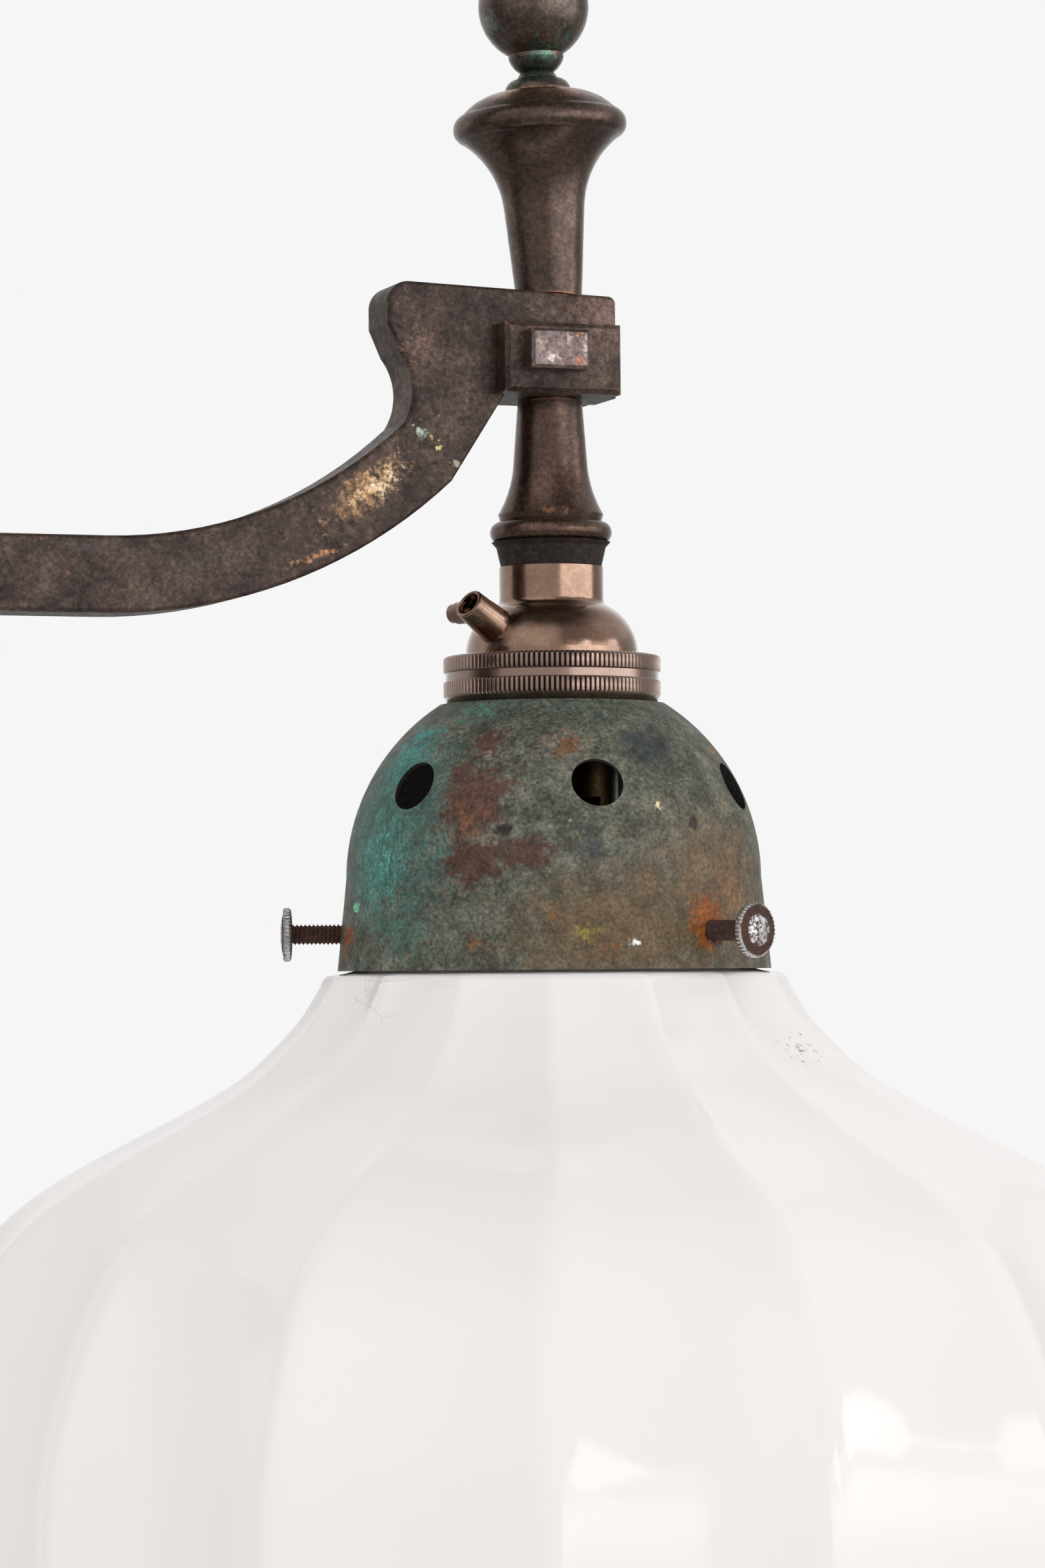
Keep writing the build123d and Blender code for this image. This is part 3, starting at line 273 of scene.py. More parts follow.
def coiled_wire(radius, tall):
    """Closed coil of spring wire about Z, standing on Z = 0 (mm)."""
    shape = bmesh.new()
    rounds = []
    steps = SPRING_TURNS * COIL_STEPS
    climb = tall - 2 * SPRING_WIRE_R
    for k in range(steps + 1):
        turn = 2 * pi * k / COIL_STEPS
        rise = SPRING_WIRE_R + climb * k / steps
        ring = []
        for side in range(WIRE_SIDES):
            lean = 2 * pi * side / WIRE_SIDES
            out = radius + SPRING_WIRE_R * cos(lean)
            up = rise + SPRING_WIRE_R * sin(lean)
            ring.append(shape.verts.new(metres((out * cos(turn), out * sin(turn), up))))
        rounds.append(ring)
    for ring, after in zip(rounds, rounds[1:]):
        for k in range(WIRE_SIDES):
            shape.faces.new((ring[k - 1], ring[k], after[k], after[k - 1])).smooth = True
    shape.faces.new(rounds[0])
    shape.faces.new(rounds[-1])
    coil = bpy.data.meshes.new("coil")
    shape.to_mesh(coil)
    shape.free()
    return coil


def smooth_run(points, steps):
    """Points on a smooth line through the given ones."""
    spots = [Vector(p) for p in points]
    ends = [spots[0], *spots, spots[-1]]
    ways = [(after - before).normalized() for before, after in zip(ends, ends[2:])]
    run = []
    for a, b, start, end in zip(spots, spots[1:], ways, ways[1:]):
        third = (b - a).length / 3
        run += interpolate_bezier(a, a + start * third, b - end * third, b, steps + 1)[:-1]
    return [tuple(p) for p in run] + [tuple(spots[-1])]


# Finishes

GRAIN_SHARE = 0.4       # grain against clouds in a mottled colour
NOISE_LOW, NOISE_HIGH = 0.34, 0.66  # what nearly all of a noise lies between
STAIN_EDGE = 0.74       # cover and raggedness together, where a stain begins
RUB_REACH = 0.7         # mm in from an outer edge that hands have rubbed
RUB_GRAIN = 2.4         # mm, how ragged that wear is
RUBBED_COPPER = "#A8765A"
CORNER_PAINTED_SHADE_REACH = 2.5       # mm out from an inner corner that gets painted shade
# colour of the painted shade in inner corners
CORNER_PAINTED_SHADE = "#140F0D"
WEAR_SAMPLES = 6        # rays that feel for an edge or a corner
SEAM_MIDDLE = (222.6, 0, 24.75)     # brazed seam between arm and block (mm)
SEAM_REACH = 11.0       # mm, its cast skin has no wear
SEAM_CLEAR = 14.3       # mm, past here the wear is full
GALLERY_MIDDLE = (AXIS_X, 0, -57)   # inside the gallery (mm)
CRACK_MIDDLE = (206, -17, -78.5)    # cracked spot on the glass (mm)
CRACK_REACH = 10        # mm, no cracks past here
CRACK_FULL = 7          # mm, cracks show fully up to here
CRACK_SPACING = 8       # mm between cracks


def start_finish(name):
    """A new material: its tree, its shader and the place of a point on the lamp."""
    material = bpy.data.materials.new(name)
    material.use_nodes = True
    tree = material.node_tree
    tree.nodes.clear()
    shader = add(tree, "ShaderNodeBsdfPrincipled")
    add(tree, "ShaderNodeOutputMaterial", {"Surface": shader})
    place = add(tree, "ShaderNodeTexCoord").outputs["Object"]
    return material, tree, shader, place


def mottled(tree, place, broad, fine, stops):
    """Colour that wanders along the stops, in broad clouds and fine grain of these widths (mm)."""
    clouds = add(tree, "ShaderNodeTexNoise", {
        "Vector": place, "Scale": 1 / (broad * MM), "Detail": 8.0, "Roughness": 0.66,
    })
    grain = add(tree, "ShaderNodeTexNoise", {
        "Vector": place, "Scale": 1 / (fine * MM), "Detail": 5.0, "Roughness": 0.7,
    })
    both = add(tree, "ShaderNodeMix", {"Factor": GRAIN_SHARE, "A": clouds, "B": grain})
    return add(tree, "ShaderNodeValToRGB", {"Fac": both}, stops=stops).outputs["Color"]


def stained(tree, place, colour, stains):
    """Lay ragged stains over a colour.

    A stain is its hex, centre, reach along the part's axes, turn about Y, grain (mm), cover and softness.
    """
    for tint, centre, reach, turn, grain, cover, soft in stains:
        spot = add(tree, "ShaderNodeMapping", {
            "Vector": place, "Location": metres(centre), "Rotation": (0, radians(turn), 0),
            "Scale": metres(reach),
        }, vector_type="TEXTURE")
        away = add(tree, "ShaderNodeVectorMath", {0: spot}, operation="LENGTH").outputs["Value"]
        near = add(tree, "ShaderNodeMapRange", {
            "Value": away, "From Min": 1.0, "From Max": 0.0, "To Max": cover,
        })
        ragged = add(tree, "ShaderNodeTexNoise", {
            "Vector": place, "Scale": 1 / (grain * MM), "Detail": 8.0, "Roughness": 0.72,
        })
        both = add(tree, "ShaderNodeMath", {0: near, 1: ragged}, operation="ADD")
        mask = add(tree, "ShaderNodeMapRange", {
            "Value": both, "From Min": STAIN_EDGE, "From Max": STAIN_EDGE + soft,
        })
        colour = add(
            tree, "ShaderNodeMix", {"Factor": mask, "A": colour, "B": linear(tint)}, data_type="RGBA",
        ).outputs["Result"]
    return colour


def rubbed(tree, place, colour):
    """Rub a colour through to copper on outer edges, clear of the brazed seam, and paint shade into inner
    corners.
    """
    solid = add(
        tree, "ShaderNodeAmbientOcclusion", {"Distance": RUB_REACH * MM},
        inside=True, only_local=True, samples=WEAR_SAMPLES,
    )
    edge = add(tree, "ShaderNodeMapRange", {
        "Value": solid.outputs["AO"], "From Min": 0.90, "From Max": 0.55, "To Max": 0.36,
    })
    grain = add(tree, "ShaderNodeTexNoise", {
        "Vector": place, "Scale": 1 / (RUB_GRAIN * MM), "Detail": 6.0, "Roughness": 0.7,
    })
    both = add(tree, "ShaderNodeMath", {0: edge, 1: grain}, operation="ADD")
    mask = add(tree, "ShaderNodeMapRange", {
        "Value": both, "From Min": 0.66, "From Max": 0.86, "To Max": 0.85,
    })
    away = add(
        tree, "ShaderNodeVectorMath", {0: place, 1: metres(SEAM_MIDDLE)}, operation="DISTANCE",
    ).outputs["Value"]
    clear = add(tree, "ShaderNodeMapRange", {
        "Value": away, "From Min": SEAM_REACH * MM, "From Max": SEAM_CLEAR * MM,
    })
    mask = add(tree, "ShaderNodeMath", {0: mask, 1: clear}, operation="MULTIPLY")
    colour = add(
        tree, "ShaderNodeMix", {"Factor": mask, "A": colour, "B": linear(RUBBED_COPPER)}, data_type="RGBA",
    ).outputs["Result"]
    # Painted shade: darker in inner corners, where little open air is round a point
    open_air = add(
        tree, "ShaderNodeAmbientOcclusion", {"Distance": CORNER_PAINTED_SHADE_REACH * MM},
        only_local=True, samples=WEAR_SAMPLES,
    )
    recess_painted_shade = add(tree, "ShaderNodeMapRange", {
        "Value": open_air.outputs["AO"], "From Min": 0.8, "From Max": 0.45, "To Max": 0.6,
    })
    return add(
        tree, "ShaderNodeMix", {"Factor": recess_painted_shade, "A": colour, "B": linear(CORNER_PAINTED_SHADE)}, data_type="RGBA",
    ).outputs["Result"]


def uneven(tree, place, shader, size, height, rough_low, rough_high):
    """Uneven skin: small dents of a size and height (mm), and gloss that comes and goes with them."""
    dents = add(tree, "ShaderNodeTexNoise", {
        "Vector": place, "Scale": 1 / (size * MM), "Detail": 6.0, "Roughness": 0.62,
    })
    bump = add(tree, "ShaderNodeBump", {"Distance": height * MM, "Height": dents, "Strength": 1.0})
    rough = add(tree, "ShaderNodeMapRange", {
        "Value": dents, "From Min": NOISE_LOW, "From Max": NOISE_HIGH, "To Min": rough_low,
        "To Max": rough_high,
    })
    tree.links.new(bump.outputs["Normal"], shader.inputs["Normal"])
    tree.links.new(rough.outputs["Result"], shader.inputs["Roughness"])


def grained(tree, place, colour, size, low, high):
    """Break a colour up with grain of a width (mm), from its low to its high share of the light."""
    grain = add(tree, "ShaderNodeTexNoise", {
        "Vector": place, "Scale": 1 / (size * MM), "Detail": 4.0, "Roughness": 0.65,
    })
    share = add(tree, "ShaderNodeMapRange", {
        "Value": grain, "From Min": NOISE_LOW, "From Max": NOISE_HIGH, "To Min": low, "To Max": high,
    })
    scaled = add(tree, "ShaderNodeVectorMath", {0: colour, "Scale": share}, operation="SCALE")
    return scaled.outputs["Vector"]


def patinated_bronze(name, stops, stains=(), rough=(0.42, 0.66), metallic=0.6, dents=0.09, wax=0.1):
    # Cast bronze under an old brown patina: satin, cloudy and finely pitted, copper-coloured on rubbed edges,
    # with painted shade in inner corners
    material, tree, shader, place = start_finish(name)
    colour = mottled(tree, place, 8.0, 1.1, stops)
    colour = stained(tree, place, colour, stains)
    colour = grained(tree, place, colour, 0.7, 0.58, 1.36)
    colour = rubbed(tree, place, colour)
    tree.links.new(colour, shader.inputs["Base Color"])
    uneven(tree, place, shader, 1.6, dents, *rough)
    shader.inputs["Metallic"].default_value = metallic
    shader.inputs["Coat Weight"].default_value = wax
    shader.inputs["Coat Roughness"].default_value = 0.24
    return material


def polished_bronze(name, stops, rough=(0.13, 0.28), recess_painted_shade=0.0):
    # Spun and polished bronze under a brown lacquer: mirror-like, slightly hazed, with painted shade in the
    # hollows of its knurling
    material, tree, shader, place = start_finish(name)
    colour = mottled(tree, place, 6.0, 0.8, stops)
    # Painted shade: darker the deeper a point lies in a knurl's hollow
    dip = add(tree, "ShaderNodeAttribute", attribute_name="dip").outputs["Fac"]
    knurl_painted_shade = add(tree, "ShaderNodeMapRange", {"Value": dip, "From Min": 0.1, "From Max": 0.7, "To Max": recess_painted_shade})
    colour = add(
        tree, "ShaderNodeMix", {"Factor": knurl_painted_shade, "A": colour, "B": linear("#1C1410")}, data_type="RGBA",
    ).outputs["Result"]
    tree.links.new(colour, shader.inputs["Base Color"])
    uneven(tree, place, shader, 2.4, 0.012, *rough)
    shader.inputs["Metallic"].default_value = 1.0
    shader.inputs["Coat Weight"].default_value = 1.0
    shader.inputs["Coat Roughness"].default_value = 0.08
    return material


def verdigris_brass(name):
    # Spun brass long left outdoors: crusts of green, umber and grey oxide, finely speckled, with painted
    # shade that makes its inside near black
    material, tree, shader, place = start_finish(name)
    colour = mottled(tree, place, 7.0, 0.9, (
        (0.0, "#282721"), (0.38, "#3E3D34"), (0.46, "#525246"), (0.53, "#636356"), (0.60, "#747266"),
        (1.0, "#90907F"),
    ))
    colour = stained(tree, place, colour, (
        # Brown ground below and green-grey above
        ("#6E5B44", (270, -34, -60), (36, 32, 30), 0, 4.0, 0.66, 0.30),
        ("#66553E", (248, -40, -68), (38, 30, 22), 0, 4.0, 0.74, 0.30),
        ("#4E4336", (250, -20, -76), (60, 60, 8), 0, 3.0, 0.42, 0.22),
        ("#46554C", (246, -10, -24), (46, 46, 18), 0, 4.0, 0.50, 0.24),
        # Verdigris at the left
        ("#4A7A6C", (227, -16, -25), (17, 15, 7), 0, 2.0, 0.44, 0.20),
        ("#48695F", (211, -12, -46), (30, 42, 46), 0, 3.4, 0.62, 0.26),
        ("#4C6C5C", (213, -19, -68), (13, 18, 10), 0, 3.0, 0.44, 0.20),
        ("#438379", (209, -11, -53), (12, 24, 28), 0, 2.0, 0.50, 0.22),
        ("#3E8079", (217, -8, -34), (16, 20, 17), 35, 2.0, 0.48, 0.22),
        ("#2F9088", (220, -8, -30), (9, 14, 9), 35, 1.4, 0.36, 0.16),
        ("#6AAFA3", (211, -12, -54), (8, 15, 18), 0, 1.2, 0.26, 0.12),
        # Umber patches
        ("#5C4034", (223.5, -27.5, -42), (12.5, 13, 17), 0, 3.4, 0.60, 0.13),
        ("#553C33", (228.6, -23.1, -31.8), (9, 9, 7), 0, 2.4, 0.50, 0.12),
        ("#54392D", (223, -30, -55), (13, 11, 9), 0, 2.6, 0.54, 0.13),
        ("#523A30", (231, -35.5, -53), (14, 10, 7), 0, 2.2, 0.50, 0.13),
        ("#7C4E34", (222.5, -28, -47), (10, 10, 13), 0, 1.8, 0.32, 0.14),
        ("#7A5332", (241.6, -30.7, -32.3), (11, 9, 7), 0, 2.2, 0.42, 0.18),
        # Blue-grey clouds and dark spots
        ("#31383A", (258, -30.5, -32.5), (16, 15, 11), 0, 2.8, 0.50, 0.24),
        ("#41464A", (243.4, -39.3, -51.7), (8, 8, 8), 0, 2.6, 0.42, 0.20),
        ("#332B22", (228.1, -32.9, -48.6), (2.9, 2.9, 2.1), 0, 1.6, 0.62, 0.10),
        ("#3A3128", (264.7, -36.3, -47.4), (2.4, 2.4, 3.2), 0, 1.6, 0.62, 0.14),
        # Ochre and rust, strongest round the thumbscrews
        ("#86763A", (241.6, -40.5, -67.8), (5.5, 5, 5), 0, 1.8, 0.42, 0.18),
        ("#8F5A2A", (222.6, -31.1, -70), (5, 4, 4), 0, 1.2, 0.36, 0.12),
        ("#7E5228", (235.1, -38.6, -64.7), (5, 4, 5), 0, 1.2, 0.32, 0.12),
        ("#7C4A24", (245.8, -41.2, -70.6), (6, 4, 3), 0, 1.2, 0.34, 0.12),
        ("#8C6846", (273, -33, -61), (12, 13, 14), 0, 2.4, 0.44, 0.26),
        ("#96622E", (275.5, -19.7, -33), (6, 6, 5), 0, 2.0, 0.40, 0.18),
        ("#8A4F1E", (267, -37, -66), (9, 9, 9.5), 0, 2.2, 0.62, 0.16),
        ("#8E5222", (265, -38.3, -64.5), (7, 5, 7), 0, 1.4, 0.42, 0.20),
        ("#3E1D0C", (268.5, -37, -68), (5.5, 5.5, 6), 0, 1.6, 0.50, 0.14),
        ("#8A4A22", (209, 3, -69), (5, 9, 8), 0, 2.0, 0.50, 0.18),
        # Chips and specks
        ("#7FD0A4", (208.6, -1.5, -62.6), (2, 3, 2.6), 0, 1.4, 0.50, 0.06),
        ("#D9C79A", (257.1, -37.6, -44.2), (1.6, 1.6, 2), 0, 0.9, 0.42, 0.06),
        ("#8FB4A8", (239.8, -37.8, -47.0), (4, 4, 3), 0, 1.0, 0.26, 0.10),
        ("#DAD8D2", (250.5, -41.8, -70), (2.6, 2.6, 1.5), 0, 0.8, 0.42, 0.06),
        ("#D5D0C0", GALLERY_MIDDLE, (90, 90, 90), 0, 0.8, 0.11, 0.06),
        ("#221D17", GALLERY_MIDDLE, (90, 90, 90), 0, 1.0, 0.13, 0.06),
    ))
    colour = grained(tree, place, colour, 3.6, 0.72, 1.28)
    colour = grained(tree, place, colour, 0.7, 0.54, 1.46)
    # Painted shade: faces that look in towards the middle of the gallery are made near black
    facing = add(tree, "ShaderNodeTexCoord").outputs["Normal"]
    out = add(tree, "ShaderNodeVectorMath", {0: place, 1: metres(GALLERY_MIDDLE)}, operation="SUBTRACT")
    outward = add(tree, "ShaderNodeVectorMath", {0: facing, 1: out}, operation="DOT_PRODUCT").outputs["Value"]
    inside = add(tree, "ShaderNodeMath", {0: outward, 1: 0.0}, operation="LESS_THAN")
    colour = add(
        tree, "ShaderNodeMix", {"Factor": inside, "A": colour, "B": linear("#1C1712")}, data_type="RGBA",
    ).outputs["Result"]
    tree.links.new(colour, shader.inputs["Base Color"])
    uneven(tree, place, shader, 0.9, 0.12, 0.5, 0.72)
    shader.inputs["Metallic"].default_value = 0.12
    return material


def rusted_plating(name):
    # Plated steel that has pitted: bright where fingers keep the plating clean, brown rust elsewhere
    material, tree, shader, place = start_finish(name)
    rust = mottled(tree, place, 1.6, 0.5, (
        (0.0, "#1C110E"), (0.42, "#341F1A"), (0.54, "#4E2F25"), (1.0, "#7E4E30"),
    ))
    plate = add(tree, "ShaderNodeAttribute", attribute_name="plating").outputs["Fac"]
    pits = add(tree, "ShaderNodeTexNoise", {
        "Vector": place, "Scale": 1 / (0.9 * MM), "Detail": 4.0, "Roughness": 0.7,
    })
    both = add(tree, "ShaderNodeMath", {0: plate, 1: pits}, operation="ADD")
    bright = add(tree, "ShaderNodeMapRange", {"Value": both, "From Min": 0.92, "From Max": 1.04})
    colour = add(
        tree, "ShaderNodeMix", {"Factor": bright, "A": rust, "B": linear("#C9C7C8")}, data_type="RGBA",
    ).outputs["Result"]
    tree.links.new(colour, shader.inputs["Base Color"])
    uneven(tree, place, shader, 0.7, 0.10, 0.55, 0.75)
    dull = add(tree, "ShaderNodeMapRange", {"Value": bright, "To Min": 0.7, "To Max": 0.28})
    tree.links.new(dull.outputs["Result"], shader.inputs["Roughness"])
    tree.links.new(bright.outputs["Result"], shader.inputs["Metallic"])
    return material


def opal_glass(name):
    # Pressed milk glass: white all through, with a glossy fire-polished skin, hairline cracks and rust specks
    material, tree, shader, place = start_finish(name)
    colour = mottled(tree, place, 60.0, 20.0, ((0.0, "#F1EDEB"), (0.5, "#F3EFED"), (1.0, "#F4F0EF")))
    colour = stained(tree, place, colour, (
        ("#86523E", (285, -44, -88), (13, 16, 12), 0, 1.3, 0.27, 0.06),
        ("#8E7A6C", (250, -60, -110), (200, 200, 90), 0, 1.3, 0.03, 0.05),
    ))
    bits = add(
        tree, "ShaderNodeTexVoronoi", {"Vector": place, "Scale": 1 / (CRACK_SPACING * MM)},
        feature="DISTANCE_TO_EDGE",
    ).outputs["Distance"]
    line = add(tree, "ShaderNodeMapRange", {
        "Value": bits, "From Min": 0.016, "From Max": 0.006, "To Max": 0.28,
    })
    away = add(
        tree, "ShaderNodeVectorMath", {0: place, 1: metres(CRACK_MIDDLE)}, operation="DISTANCE",
    ).outputs["Value"]
    near = add(tree, "ShaderNodeMapRange", {
        "Value": away, "From Min": CRACK_REACH * MM, "From Max": CRACK_FULL * MM,
    })
    crack = add(tree, "ShaderNodeMath", {0: line, 1: near}, operation="MULTIPLY")
    colour = add(
        tree, "ShaderNodeMix", {"Factor": crack, "A": colour, "B": linear("#9A9086")}, data_type="RGBA",
    ).outputs["Result"]
    tree.links.new(colour, shader.inputs["Base Color"])
    uneven(tree, place, shader, 24.0, 0.08, 0.07, 0.11)
    shader.inputs["IOR"].default_value = 1.5
    shader.inputs["Subsurface Weight"].default_value = 0.3
    shader.inputs["Subsurface Radius"].default_value = metres((4, 4, 4))
    shader.inputs["Subsurface Scale"].default_value = 1.0
    return material


def black_lacquer(name):
    # Thick dark lacquer gone dull: brown-black, with a soft uneven sheen
    material, tree, shader, place = start_finish(name)
    colour = mottled(tree, place, 2.4, 0.6, (
        (0.0, "#140E0D"), (0.48, "#211816"), (0.58, "#33271F"), (1.0, "#4A3A33"),
    ))
    tree.links.new(colour, shader.inputs["Base Color"])
    uneven(tree, place, shader, 1.0, 0.06, 0.5, 0.72)
    shader.inputs["Specular IOR Level"].default_value = 0.3
    return material


def bare_metal(name, stops, size, rough):
    # Machined metal inside the fittings: plain turned skin with a light bloom
    material, tree, shader, place = start_finish(name)
    tree.links.new(mottled(tree, place, size, size / 5, stops), shader.inputs["Base Color"])
    uneven(tree, place, shader, 1.4, 0.02, *rough)
    shader.inputs["Metallic"].default_value = 1.0
    return material


def insulation(name, stops, rough, height):
    # Fired, moulded or braided insulation: one quiet colour, with a skin from glassy to rough
    material, tree, shader, place = start_finish(name)
    tree.links.new(mottled(tree, place, 5.0, 1.0, stops), shader.inputs["Base Color"])
    uneven(tree, place, shader, 3.0, height, *rough)
    return material


BROWN = (
    (0.0, "#1A1311"), (0.38, "#291F1C"), (0.46, "#40332E"), (0.53, "#514139"), (0.60, "#65534A"),
    (0.70, "#7C6A60"), (1.0, "#9A887C"),
)
arm_bronze = patinated_bronze("patinated_bronze_casting", BROWN, (
    # Clouds along the bar and on the block
    ("#4A4438", (176, -6.5, 3), (34, 20, 8), 0, 4.0, 0.32, 0.24),
    ("#5E5254", (156, -6.5, 5), (30, 20, 8), 0, 4.0, 0.32, 0.24),
    ("#2A211F", (196, -6.5, 9), (20, 20, 7), -25, 4.0, 0.30, 0.24),
    ("#8A6E64", (258, -8, 50), (13, 12, 14), 0, 3.0, 0.58, 0.26),
    # Patch rubbed to bare metal on the bend
    ("#6E5848", (209, -6.5, 16), (22, 8, 11), -38, 3.0, 0.42, 0.18),
    ("#AC8664", (209.5, -6.5, 17), (20, 8, 8.5), -39, 1.8, 0.40, 0.14),
    ("#D6AE84", (211, -6.5, 18), (15, 8, 6.5), -40, 1.4, 0.36, 0.12),
    ("#F6E0C0", (213, -6.5, 18.2), (11, 8, 5), -40, 1.0, 0.32, 0.10),
    ("#2C221F", (209, -6.5, 15), (18, 8, 9), -38, 1.3, 0.20, 0.10),
    ("#B07F58", (200, -6.5, 4.2), (15, 8, 1.5), -20, 1.4, 0.40, 0.12),
    # Pale crust at the seam
    ("#B8C4B0", (221.4, -6.5, 28.3), (5, 6, 4), 40, 1.5, 0.32, 0.06),
    ("#D8C98C", (224, -6.5, 26.5), (3, 6, 2.2), 40, 1.2, 0.34, 0.06),
    ("#A8A890", (228.2, -6.5, 22.7), (2.6, 6, 1.8), 40, 1.1, 0.42, 0.10),
    ("#1D1816", (222.5, -6.5, 26.5), (6, 6, 4.5), 40, 3.0, 0.42, 0.20),
    ("#9A6A62", (226, -6.5, 31), (5, 6, 3), 40, 1.4, 0.22, 0.10),
    # Specks, and copper along the hook's edge
    ("#8E5448", (146.2, -6.5, 6.4), (1.1, 4, 0.9), 0, 0.8, 0.5, 0.14),
    ("#8E5448", (151.1, -6.5, 0), (1.0, 4, 1.0), 0, 0.8, 0.5, 0.14),
    ("#8C6E60", (221, -6.5, 46), (8, 6, 12), 20, 1.6, 0.34, 0.16),
    ("#B9AFA6", (225, -6.5, 45), (18, 8, 14), 0, 1.2, 0.11, 0.10),
    ("#94705C", (217.0, -6.5, 44.6), (0.9, 2.2, 6), -29, 1.2, 0.42, 0.18),
    ("#94705C", (219.0, -6.5, 39.8), (0.9, 2.2, 5), 0, 1.2, 0.42, 0.18),
    ("#8A6650", (217.8, -6.5, 34.6), (0.8, 2.2, 5), 25, 1.2, 0.40, 0.18),
))
SATIN = {"rough": (0.24, 0.44), "metallic": 0.85, "dents": 0.05, "wax": 0.4}
vase_bronze = patinated_bronze("patinated_bronze_turning", (
    (0.0, "#2A201C"), (0.4, "#44362F"), (0.52, "#5A473E"), (0.64, "#705C52"), (1.0, "#8C786C"),
), (("#9A6A52", (248.5, -3, 95.5), (60, 60, 3), -2.8, 4.0, 0.5, 0.25),), **SATIN)
baluster_bronze = patinated_bronze("patinated_bronze_baluster", (
    (0.0, "#2A1F1B"), (0.4, "#46342B"), (0.52, "#60483D"), (0.64, "#7A5C4E"), (1.0, "#967462"),
), (
    # Painted shade: a dark band down the left side, towards the arm, for its shadow and dark reflection
    ("#1C1512", (241, -4, 24), (8, 9, 24), 0, 4.0, 0.50, 0.30),
    ("#A87C60", (247, -9, 14), (8, 6, 3), 0, 1.8, 0.36, 0.14),
), **SATIN)
finial_bronze = patinated_bronze("patinated_bronze_finial", (
    (0.0, "#2D2623"), (0.4, "#493C36"), (0.52, "#5F5049"), (0.64, "#76665D"), (1.0, "#908076"),
), (
    ("#4C5A50", (245, -6, 101), (13, 14, 8), 0, 4.0, 0.54, 0.20),
    ("#6C9484", (248, -7, 103.5), (11, 11, 9), 0, 1.8, 0.40, 0.18),
    ("#6C786C", (237.5, -2, 109), (3.5, 8, 9), 0, 2.0, 0.46, 0.20),
    ("#6A8C78", (251, -7, 107), (6, 6, 5), 0, 1.6, 0.34, 0.14),
), **SATIN)
key_bronze = patinated_bronze("patinated_bronze_key", (
    (0.0, "#30272A"), (0.4, "#564A4B"), (0.52, "#786867"), (0.64, "#948280"), (1.0, "#B4A29E"),
), (
    ("#A8978D", (242, -16.6, 45), (2.6, 6, 5), 0, 1.6, 0.44, 0.24),
    ("#DCCDC3", (244.3, -16.6, 42.6), (3.4, 6, 2.4), 0, 1.2, 0.44, 0.24),
    ("#D2C4BA", (247.8, -16.6, 46.3), (2, 6, 2.6), 0, 1.2, 0.42, 0.24),
    ("#DCC8BC", (251.2, -16.6, 44.8), (2, 6, 4), 0, 1.2, 0.44, 0.24),
    ("#B8754C", (250, -16.6, 42.2), (2.6, 6, 2.2), 0, 1.2, 0.46, 0.24),
    ("#A87050", (249.6, -16.6, 47), (2.6, 6, 1.6), 0, 1.2, 0.44, 0.24),
), rough=(0.26, 0.46), metallic=0.85)
cap_bronze = polished_bronze("polished_bronze_cap", (
    (0.0, "#6A4E3E"), (0.44, "#8A6A58"), (0.56, "#9E7D67"), (1.0, "#B8977F"),
))
# The rings' knurl hollows get painted shade
ring_bronze = polished_bronze("polished_bronze_rings", (
    (0.0, "#7C6458"), (0.5, "#947A6E"), (1.0, "#AA9084"),
), (0.2, 0.32), recess_painted_shade=0.85)
gallery_brass = verdigris_brass("verdigris_spun_brass")
thumb_steel = rusted_plating("rusted_plated_steel")
shade_glass = opal_glass("pressed_opal_glass")
collar_lacquer = black_lacquer("dulled_black_lacquer")
# Tarnished brass of the fittings closed in by the gallery, made darker still as painted shade
tarnished_brass_with_painted_shade = bare_metal("tarnished_brass_darkened_as_painted_shade", (
    (0.0, "#241C12"), (0.5, "#3A2E1C"), (1.0, "#5A4828"),
), 4.0, (0.3, 0.45))
contact_brass = bare_metal("machined_brass", (
    (0.0, "#A27C42"), (0.5, "#BE9656"), (1.0, "#CDA868"),
), 4.0, (0.22, 0.38))
screw_steel = bare_metal("worn_steel", (
    (0.0, "#6C6864"), (0.5, "#8E8A86"), (1.0, "#A9A5A0"),
), 2.0, (0.28, 0.45))
spring_wire = bare_metal("spring_steel_wire", ((0.0, "#7C7C7E"), (1.0, "#A6A6A8")), 1.5, (0.22, 0.34))
insert_porcelain = insulation("glazed_porcelain", ((0.0, "#E6E1D6"), (1.0, "#F0ECE3")), (0.10, 0.18), 0.02)
block_moulding = insulation("brown_moulded_resin", ((0.0, "#2E1D15"), (1.0, "#452D21")), (0.28, 0.42), 0.03)
flex_cover = insulation("braided_flex_cover", (
    (0.0, "#231F1C"), (0.5, "#3A332D"), (1.0, "#4A4038"),
), (0.6, 0.8), 0.20)
core_cover = insulation("core_insulation", ((0.0, "#7A2F22"), (1.0, "#94402F")), (0.45, 0.6), 0.02)

